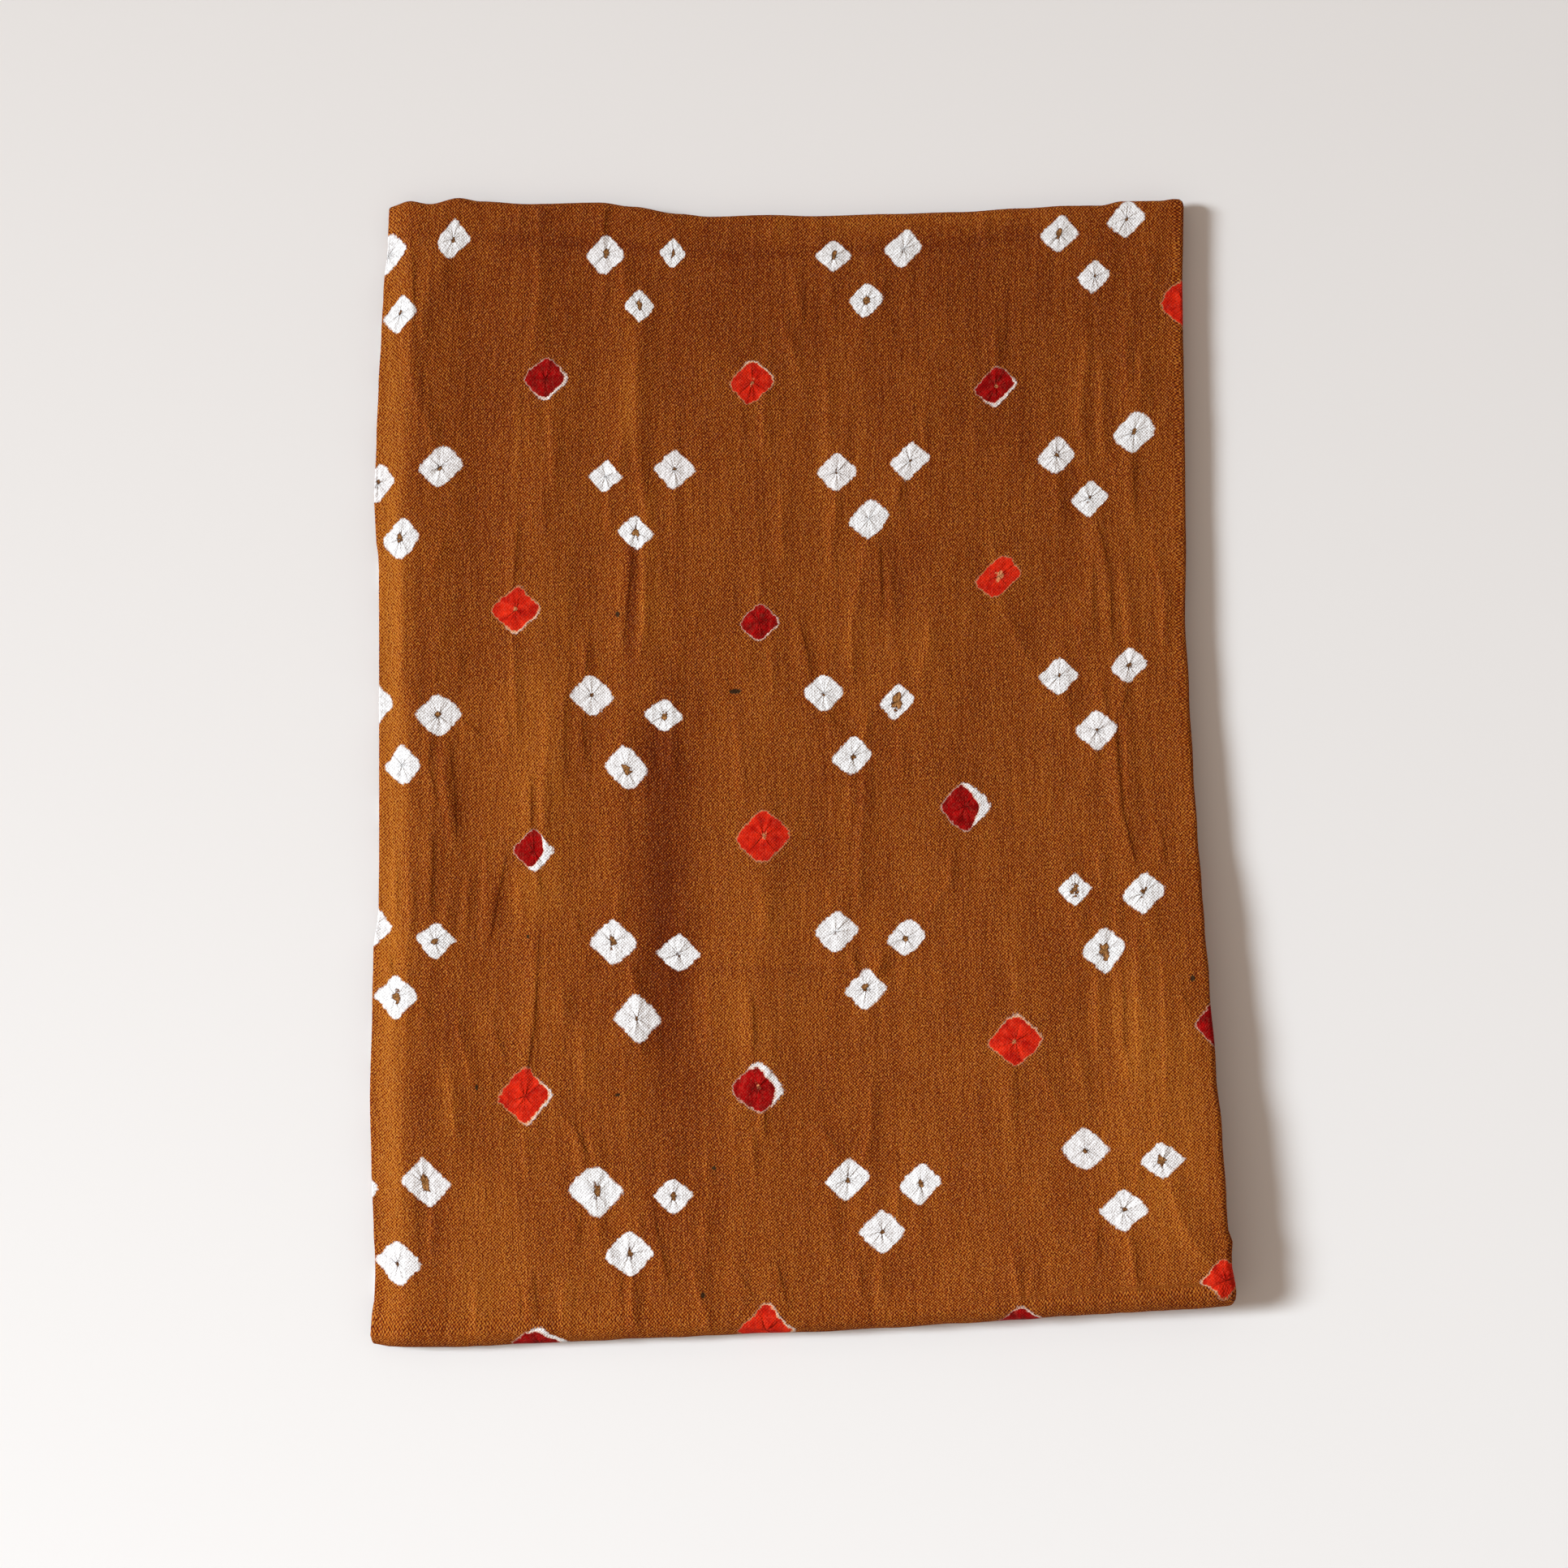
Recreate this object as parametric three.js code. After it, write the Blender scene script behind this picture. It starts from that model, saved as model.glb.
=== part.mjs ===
// A piece of tie-dyed cotton, folded in three across its width and then in three along its length,
// and laid flat. Millimetres, +Z up. The origin lies under the middle of the bundle, on the surface
// that it rests on; +X runs across the folded strip and +Y along it.
import * as THREE from 'three';

// The cloth and the air between its layers, at the bundle's thinnest place.
const CLOTH_THICK = 1.0;
const PANEL_GAP = 0.3;
const STRIP_GAP = 0.4;

// A letter fold stacks three runs: the first below, the tucked-in one between, the outer one on top.
const RUNS = 3;
const STRIP_THICK = RUNS * CLOTH_THICK + (RUNS - 1) * PANEL_GAP;
const BUNDLE_THICK = RUNS * STRIP_THICK + (RUNS - 1) * STRIP_GAP;

// The bundle before its edges are drawn uneven: half its width and half its length.
const HALF_WIDTH = 148;
const HALF_LENGTH = 197;

// Facets round half a turn of each fold.
const WIDTH_FOLD_STEPS = 5;
const LENGTH_FOLD_STEPS = 6;

// Lines across the bundle where its height is followed, the same ones in every layer.
const ACROSS = [-132, -108, -84, -66, -54, -38, -14, 18, 56, 96, 128];
const ALONG = [-170, -138, -100, -60, -20, 24, 66, 108, 150, 180];

// How far the cut edges stop short of the bundle's own edge.
const SELVEDGE_SHORT = 6;
const INNER_SELVEDGE_SHORT = 10;
const INNER_HEM_SHORT = 13;
const LOWER_HEM = [
  { x: -146, short: 9 },
  { x: -25, short: 14 },
  { x: 45, short: 12 },
  { x: 97, short: 8 },
  { x: 140, short: 7 },
];

// The lower strips lie a little inside the top one: one row for each run along the length.
const STRIP_TUCK = [
  { run: 'lower', left: 0.2, right: 1.2 },
  { run: 'top', left: 0, right: 0 },
  { run: 'tucked in', left: 1.4, right: 1.8 },
];

// The outline from above. Each side bows and wanders as the folded edges do.
const SIDES = [
  { y: 198, left: -143.2, right: 132.2 },
  { y: 168, left: -145.1, right: 131.7 },
  { y: 136, left: -146.8, right: 132.2 },
  { y: 96, left: -148.3, right: 132.7 },
  { y: 74, left: -146.7, right: 133.0 },
  { y: 34, left: -146.8, right: 133.4 },
  { y: -5, left: -146.5, right: 135.4 },
  { y: -46, left: -146.8, right: 138.2 },
  { y: -80, left: -149.0, right: 140.7 },
  { y: -112, left: -149.7, right: 143.1 },
  { y: -145, left: -149.0, right: 146.0 },
  { y: -172, left: -148.0, right: 148.2 },
  { y: -197, left: -149.2, right: 150.0 },
];
const ENDS = [
  { x: -146, bottom: -198.9, top: 197.0 },
  { x: -122, bottom: -199.3, top: 199.3 },
  { x: -98, bottom: -198.0, top: 197.4 },
  { x: -68, bottom: -196.8, top: 197.6 },
  { x: -34, bottom: -195.2, top: 192.9 },
  { x: 6, bottom: -193.7, top: 193.1 },
  { x: 50, bottom: -191.2, top: 194.3 },
  { x: 88, bottom: -188.7, top: 196.6 },
  { x: 124, bottom: -186.5, top: 198.6 },
  { x: 150, bottom: -184.9, top: 198.0 },
];

// The height of the bundle's top: low along the top edge and the left, high at the lower right.
const HEIGHTS = [
  { y: 196, left: 11.7, middle: 12.2, right: 11.7 },
  { y: 165, left: 12.0, middle: 13.8, right: 12.0 },
  { y: 100, left: 12.2, middle: 14.2, right: 12.4 },
  { y: 30, left: 12.4, middle: 14.6, right: 13.4 },
  { y: -50, left: 12.4, middle: 14.4, right: 16.0 },
  { y: -125, left: 12.4, middle: 14.2, right: 19.2 },
  { y: -190, left: 12.0, middle: 12.8, right: 18.6 },
];
const HEIGHT_LEFT_X = -130;
const HEIGHT_MIDDLE_X = -10;
const HEIGHT_RIGHT_X = 138;

// Soft ridges (rise above zero) and troughs (below), each a long swell that may lean across the
// cloth: reach is half its length, spread half its width, lean its drift in X for each unit of Y.
const SWELLS = [
  { name: 'crest by the left margin', x: -132, y: 10, lean: 0.01, reach: 150, spread: 8, rise: 0.7 },
  { name: 'hollow right of that crest', x: -108, y: 30, lean: 0.02, reach: 90, spread: 12, rise: -0.7 },
  { name: 'ridge below the top edge', x: -62, y: 130, lean: 0.0, reach: 55, spread: 9, rise: 1.1 },
  { name: 'crease left of the middle', x: -54, y: 55, lean: 0.05, reach: 34, spread: 7, rise: 1.6 },
  { name: 'long crest', x: -66, y: -80, lean: -0.02, reach: 100, spread: 11, rise: 1.2 },
  { name: 'long hollow', x: -38, y: -60, lean: -0.04, reach: 110, spread: 12, rise: -1.6 },
  { name: 'swell in the middle', x: -12, y: -75, lean: 0.0, reach: 60, spread: 14, rise: 0.7 },
  { name: 'dip before the right rise', x: 96, y: -110, lean: 0.05, reach: 70, spread: 15, rise: -1.0 },
];

const smooth = (t) => t * t * (3 - 2 * t);

// Reads one column of a table at a place between its rows, easing from row to row.
function readTable(table, key, place, column) {
  const rising = table[table.length - 1][key] > table[0][key];
  const rows = rising ? table : [...table].reverse();
  if (place <= rows[0][key]) return rows[0][column];
  for (let i = 1; i < rows.length; i += 1) {
    const low = rows[i - 1];
    const high = rows[i];
    if (place <= high[key]) {
      const share = (place - low[key]) / (high[key] - low[key]);
      return THREE.MathUtils.lerp(low[column], high[column], smooth(share));
    }
  }
  return rows[rows.length - 1][column];
}

// The height of the bundle's top above the surface that it rests on.
function topHeight(x, y) {
  const left = readTable(HEIGHTS, 'y', y, 'left');
  const middle = readTable(HEIGHTS, 'y', y, 'middle');
  const right = readTable(HEIGHTS, 'y', y, 'right');
  const rightward = x > HEIGHT_MIDDLE_X;
  const far = rightward ? HEIGHT_RIGHT_X : HEIGHT_LEFT_X;
  const share = THREE.MathUtils.clamp((x - HEIGHT_MIDDLE_X) / (far - HEIGHT_MIDDLE_X), 0, 1);
  let height = THREE.MathUtils.lerp(middle, rightward ? right : left, smooth(share));
  for (const swell of SWELLS) {
    const across = (x - swell.x - swell.lean * (y - swell.y)) / swell.spread;
    const along = (y - swell.y) / swell.reach;
    height += swell.rise * Math.exp(-across * across - along ** 4);
  }
  return Math.max(height, BUNDLE_THICK);
}

// How much more open the layers lie there than at the bundle's thinnest place.
function looseness(x, y) {
  return (topHeight(x, y) - CLOTH_THICK) / (BUNDLE_THICK - CLOTH_THICK);
}

// The bundle's even rectangle drawn out to its uneven outline.
function toOutline(x, y) {
  const rightward = (x + HALF_WIDTH) / (2 * HALF_WIDTH);
  const forward = (y + HALF_LENGTH) / (2 * HALF_LENGTH);
  const left = readTable(SIDES, 'y', y, 'left');
  const right = readTable(SIDES, 'y', y, 'right');
  const outX = THREE.MathUtils.lerp(left, right, rightward);
  const bottom = readTable(ENDS, 'x', outX, 'bottom');
  const top = readTable(ENDS, 'x', outX, 'top');
  return [outX, THREE.MathUtils.lerp(bottom, top, forward)];
}

// One letter fold seen end on, as the stops that its middle line passes. The first run leads from a
// cut edge to the side turnSide, the outer run comes back over it, and the last run is tucked in
// between the two. Each stop holds the height of its run, or of its turn's centre; up is how far its
// outer face looks up and round how far it looks sideways, both 1 at most.
function letterFold({ lines, thick, gap, turnSide, steps, firstShort, lastShort }) {
  const pitch = thick + gap;
  const low = thick / 2;
  const there = turnSide > 0 ? lines : [...lines].reverse();
  const back = [...there].reverse();
  const stops = [];
  const addEdge = (run, side, short, height) => {
    stops.push({ run, side, short, height, up: -1, round: 0, radius: 0 });
  };
  const addRun = (run, places, height, up) => {
    for (const at of places) stops.push({ run, at, height, up, round: 0, radius: 0 });
  };
  const addTurn = (run, side, height, radius, up) => {
    for (let i = 0; i <= steps; i += 1) {
      const angle = (Math.PI * i) / steps;
      stops.push({
        run: run + i / steps,
        side,
        height,
        radius,
        outerRadius: radius + thick / 2,
        up: up * Math.cos(angle),
        round: Math.sin(angle),
      });
    }
  };
  addEdge(0, -turnSide, firstShort, low);
  addRun(0, there, low, -1);
  addTurn(0, turnSide, low + pitch, pitch, -1);
  addRun(1, back, low + 2 * pitch, 1);
  addTurn(1, -turnSide, low + 1.5 * pitch, pitch / 2, 1);
  addRun(2, there, low + pitch, -1);
  addEdge(2, turnSide, lastShort, low + pitch);
  return stops;
}

// Where a stop lies, and which way its outer face looks, for a layer that lies `outside` the fold's
// middle line. `half` is the distance to the bundle's edge and `loose` widens the turns.
function placeStop(stop, { outside, half, loose, crossing }) {
  const reach = stop.radius + outside;
  const height = stop.height + reach * stop.up;
  if (stop.at !== undefined) return { along: stop.at, height, facing: 0 };
  if (stop.short) return { along: stop.side * (half - stop.short(crossing)), height, facing: 0 };
  const inset = loose * (stop.outerRadius - reach * stop.round);
  return { along: stop.side * (half - inset), height, facing: stop.side * stop.round };
}

// How far a strip's side is tucked in, eased round the turns from one run to the next.
function tuckOf(run, side) {
  const lower = STRIP_TUCK[Math.floor(run)];
  const upper = STRIP_TUCK[Math.ceil(run)];
  const column = side < 0 ? 'left' : 'right';
  return THREE.MathUtils.lerp(lower[column], upper[column], smooth(run - Math.floor(run)));
}

// A point on one face of the cloth. The width fold gives the place in the strip and the layer's
// place in the strip's thickness; the length fold then bends the strip.
function clothPoint(across, along, faceOffset) {
  const roughX = across.at ?? across.side * HALF_WIDTH;
  const roughY = along.at ?? along.side * HALF_LENGTH;
  const loose = looseness(...toOutline(roughX, roughY));
  const strip = placeStop(across, {
    outside: 0,
    half: HALF_WIDTH - tuckOf(along.run, across.side),
    loose,
    crossing: roughY,
  });
  const bundle = placeStop(along, {
    outside: strip.height - STRIP_THICK / 2,
    half: HALF_LENGTH,
    loose,
    crossing: strip.along,
  });
  const [x, y] = toOutline(strip.along, bundle.along);
  const lowest = CLOTH_THICK / 2;
  const z = lowest + (bundle.height - lowest) * loose;
  const facing = new THREE.Vector3(strip.facing, across.up * bundle.facing, across.up * along.up);
  return new THREE.Vector3(x, y, z).addScaledVector(facing.normalize(), faceOffset);
}

// The folded cloth as one closed body: an outer and an inner face, joined along the four cut edges.
function clothGeometry() {
  const acrossStops = letterFold({
    lines: ACROSS,
    thick: CLOTH_THICK,
    gap: PANEL_GAP,
    turnSide: 1,
    steps: WIDTH_FOLD_STEPS,
    firstShort: () => SELVEDGE_SHORT,
    lastShort: () => INNER_SELVEDGE_SHORT,
  });
  const alongStops = letterFold({
    lines: ALONG,
    thick: STRIP_THICK,
    gap: STRIP_GAP,
    turnSide: -1,
    steps: LENGTH_FOLD_STEPS,
    firstShort: (x) => readTable(LOWER_HEM, 'x', x, 'short'),
    lastShort: () => INNER_HEM_SHORT,
  });
  const rows = acrossStops.length;
  const columns = alongStops.length;
  const positions = [];
  for (const across of acrossStops) {
    for (const along of alongStops) {
      positions.push(...clothPoint(across, along, CLOTH_THICK / 2).toArray());
      positions.push(...clothPoint(across, along, -CLOTH_THICK / 2).toArray());
    }
  }
  const outer = (i, j) => 2 * (i * columns + j);
  const inner = (i, j) => outer(i, j) + 1;
  const faces = [];
  const addQuad = (a, b, c, d, splitAtA) => {
    if (splitAtA) faces.push(a, b, c, a, c, d);
    else faces.push(b, c, d, b, d, a);
  };

  // Every layer is split along the same diagonals, so that stacked layers keep their distance.
  const runsBackAlong = (stop) => Math.floor(stop.run) === 1;
  for (let i = 0; i + 1 < rows; i += 1) {
    for (let j = 0; j + 1 < columns; j += 1) {
      const split = runsBackAlong(acrossStops[i]) === runsBackAlong(alongStops[j]);
      addQuad(outer(i, j), outer(i, j + 1), outer(i + 1, j + 1), outer(i + 1, j), split);
      addQuad(inner(i, j), inner(i + 1, j), inner(i + 1, j + 1), inner(i, j + 1), split);
    }
  }
  const addRim = (from, to) => addQuad(outer(...from), outer(...to), inner(...to), inner(...from), true);
  for (let j = 0; j + 1 < columns; j += 1) {
    addRim([0, j + 1], [0, j]);
    addRim([rows - 1, j], [rows - 1, j + 1]);
  }
  for (let i = 0; i + 1 < rows; i += 1) {
    addRim([i, 0], [i + 1, 0]);
    addRim([i + 1, columns - 1], [i, columns - 1]);
  }
  const geometry = new THREE.BufferGeometry();
  geometry.setAttribute('position', new THREE.Float32BufferAttribute(positions, 3));
  geometry.setIndex(faces);
  geometry.computeVertexNormals();
  return geometry;
}

const rustCotton = new THREE.MeshStandardMaterial({ color: 0x93501a, roughness: 0.92, metalness: 0 });

const foldedCloth = new THREE.Mesh(clothGeometry(), rustCotton);
foldedCloth.name = 'folded_cloth';

const bundle = new THREE.Group();
bundle.add(foldedCloth);

export default bundle;
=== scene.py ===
import math
import random
from collections import namedtuple

import bpy
import numpy as np
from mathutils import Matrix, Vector


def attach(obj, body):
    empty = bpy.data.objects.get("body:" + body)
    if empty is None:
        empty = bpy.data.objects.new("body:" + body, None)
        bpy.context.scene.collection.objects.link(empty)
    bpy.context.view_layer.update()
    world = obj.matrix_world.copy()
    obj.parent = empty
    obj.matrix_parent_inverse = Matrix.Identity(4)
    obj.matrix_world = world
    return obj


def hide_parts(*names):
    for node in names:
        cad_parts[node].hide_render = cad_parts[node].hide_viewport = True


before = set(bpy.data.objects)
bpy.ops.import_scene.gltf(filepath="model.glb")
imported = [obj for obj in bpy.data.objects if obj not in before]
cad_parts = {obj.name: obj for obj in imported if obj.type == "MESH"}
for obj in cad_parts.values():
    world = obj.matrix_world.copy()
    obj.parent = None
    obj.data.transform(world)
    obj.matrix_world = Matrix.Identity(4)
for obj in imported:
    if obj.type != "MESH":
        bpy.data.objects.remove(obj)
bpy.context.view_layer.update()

# Sizes are millimetres in this script, and metres only where a mesh, a lamp or the camera is made.
MM = 0.001

# The photograph looks straight down. One of its pixels is this wide at the height of the cloth's top.
MM_PER_PIXEL = 0.28
PHOTO_SIDE = 1932
ORIGIN_PIXEL = (988.5, 952.5)
CAMERA_RISE = 1500.0
TOP_LEVEL = 12.0
SENSOR_WIDTH = 36.0


def from_photo(px, py):
    """A place on top of the cloth, from its pixel in the photograph."""
    return (px - ORIGIN_PIXEL[0]) * MM_PER_PIXEL, (ORIGIN_PIXEL[1] - py) * MM_PER_PIXEL


def make_camera():
    camera = bpy.data.cameras.new("straight_down")
    camera.sensor_width = SENSOR_WIDTH
    camera.lens = SENSOR_WIDTH * CAMERA_RISE / (PHOTO_SIDE * MM_PER_PIXEL)
    holder = bpy.data.objects.new("straight_down", camera)
    middle_x, middle_y = from_photo(PHOTO_SIDE / 2, PHOTO_SIDE / 2)
    holder.location = (middle_x * MM, middle_y * MM, (TOP_LEVEL + CAMERA_RISE) * MM)
    bpy.context.scene.collection.objects.link(holder)
    bpy.context.scene.camera = holder


# The cloth's folds. Three runs across the width make a strip, and three runs of the strip along
# its length make the bundle, each a letter fold. Pitches are from the middle of one layer to the
# middle of the next, before the bundle's height draws them apart or together. Bodies are how much
# room a layer and a strip take up in a turn.
CLOTH_THICK = 0.4
LAYER_PITCH = 1.3
STRIP_PITCH = 4.0
STRIP_SPAN = 2 * LAYER_PITCH
BUNDLE_SPAN = 2 * STRIP_PITCH + STRIP_SPAN
LAYER_BODY = 1.0
STRIP_BODY = STRIP_SPAN + LAYER_BODY
HALF_WIDTH = 148.0
HALF_LENGTH = 197.0

# The grid's lines: how many steps a turn has, how far within the bundle's edge the runs' lines end, and
# how far apart they are, on the top run and on the hidden ones.
TURN_STEPS = 10
MARGIN_ACROSS = 4.0
MARGIN_ALONG = 11.0
FINE_ACROSS, COARSE_ACROSS = 1.4, 9.0
FINE_ALONG, COARSE_ALONG = 4.4, 24.0

# Extra lines of the grid, where creases run across the strip.
CREASE_LINES = [-69.4, -68.0, -66.6, 178.6, 180.1, 181.6, 183.1, 184.6]

# How far the cut edges stop short of the bundle's own edges, and the grid's last whole line before them.
SELVEDGE_SHORT = 6.0
INNER_SELVEDGE_SHORT = 10.0
INNER_HEM_SHORT = 13.0
LAST_LINE_SHORT = 16.0
Hem = namedtuple("Hem", "x short")
LOWER_HEM = [Hem(-146, 9), Hem(-25, 14), Hem(45, 12), Hem(97, 8), Hem(140, 7)]

# How far each run's sides lie inside the top run's, for the lower, the top and the tucked-in run.
Tuck = namedtuple("Tuck", "left right")
STRIP_TUCK = [Tuck(0.2, 1.2), Tuck(0.0, 0.0), Tuck(1.4, 1.8)]

# The outline from above.
Side = namedtuple("Side", "y left right")
SIDES = [Side(*row) for row in (
    (198, -143.2, 132.2), (184, -143.6, 132.0), (168, -145.1, 131.7), (152, -145.9, 131.9),
    (136, -146.8, 132.2), (118, -147.5, 132.5), (96, -148.3, 132.7), (84, -147.8, 132.8),
    (74, -146.7, 133.0), (48, -146.6, 132.6), (22, -146.6, 134.0), (-5, -146.6, 135.4),
    (-28, -146.6, 136.8), (-46, -146.8, 138.2), (-60, -148.6, 139.2), (-80, -149.0, 140.8),
    (-112, -149.8, 143.1), (-134, -149.3, 145.2), (-158, -148.5, 146.6), (-167, -148.0, 147.0),
    (-173, -148.0, 148.8), (-179, -148.2, 148.4), (-192, -149.9, 150.2), (-199, -148.3, 150.0),
)]
End = namedtuple("End", "x bottom top")
ENDS = [End(*row) for row in (
    (-148, -198.1, 195.6), (-143, -199.0, 196.4), (-136, -199.2, 198.4), (-129, -199.2, 197.3),
    (-119, -199.2, 199.4), (-111, -198.8, 198.2), (-95, -197.9, 197.3), (-70, -197.0, 197.8),
    (-59, -196.2, 196.4), (-43, -195.8, 193.9), (-32, -195.1, 192.9), (-11, -194.2, 193.5),
    (3, -193.9, 193.1), (30, -192.5, 193.8), (54, -190.9, 194.5), (76, -189.6, 195.8),
    (92, -188.3, 196.7), (103, -187.7, 196.8), (111, -187.2, 198.3), (124, -186.5, 198.4),
    (129, -186.2, 199.1), (133, -186.0, 198.6), (150, -184.8, 198.0),
)]

# The height of the bundle's top: low along the top edge and the left, high at the lower right.
Height = namedtuple("Height", "y left middle right")
HEIGHTS = [Height(*row) for row in (
    (196, 9.0, 9.4, 8.8), (165, 9.8, 11.6, 8.8), (100, 10.4, 12.4, 9.2),
    (30, 10.8, 12.8, 10.4), (-13, 10.8, 12.8, 11.6), (-52, 10.8, 12.8, 14.2),
    (-98, 10.8, 12.8, 16.0), (-150, 10.6, 12.6, 18.2), (-190, 9.8, 11.2, 17.6),
)]
LEVEL_X = (-130.0, -10.0, 138.0)
LEFT_MARGIN = 13.0
LEFT_MARGIN_DROP = 3.2

# Broad swells that go through all the layers, between two ends in the photograph's pixels. Width is
# to where a swell has sunk to a third, in pixels, and rise is in millimetres, below zero in a hollow.
Swell = namedtuple("Swell", "x0 y0 x1 y1 width rise")
SWELLS = [
    Swell(586, 300, 590, 1180, 36, -0.8),
    Swell(672, 320, 690, 1500, 42, 0.9),
    Swell(728, 320, 724, 1100, 30, -0.4),
    Swell(777, 320, 783, 640, 24, 0.8),
    Swell(800, 620, 790, 860, 34, 0.7),
    Swell(779, 850, 772, 1500, 40, 1.1),
    Swell(866, 850, 860, 1400, 44, -0.9),
    Swell(944, 960, 938, 1560, 44, 0.8),
    Swell(1018, 420, 1010, 1000, 40, -0.5),
    Swell(1160, 330, 1150, 1100, 44, 0.6),
    Swell(1352, 1180, 1362, 1590, 34, -0.9),
    Swell(533, 1440, 534, 1560, 26, -0.6),
]

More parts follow.
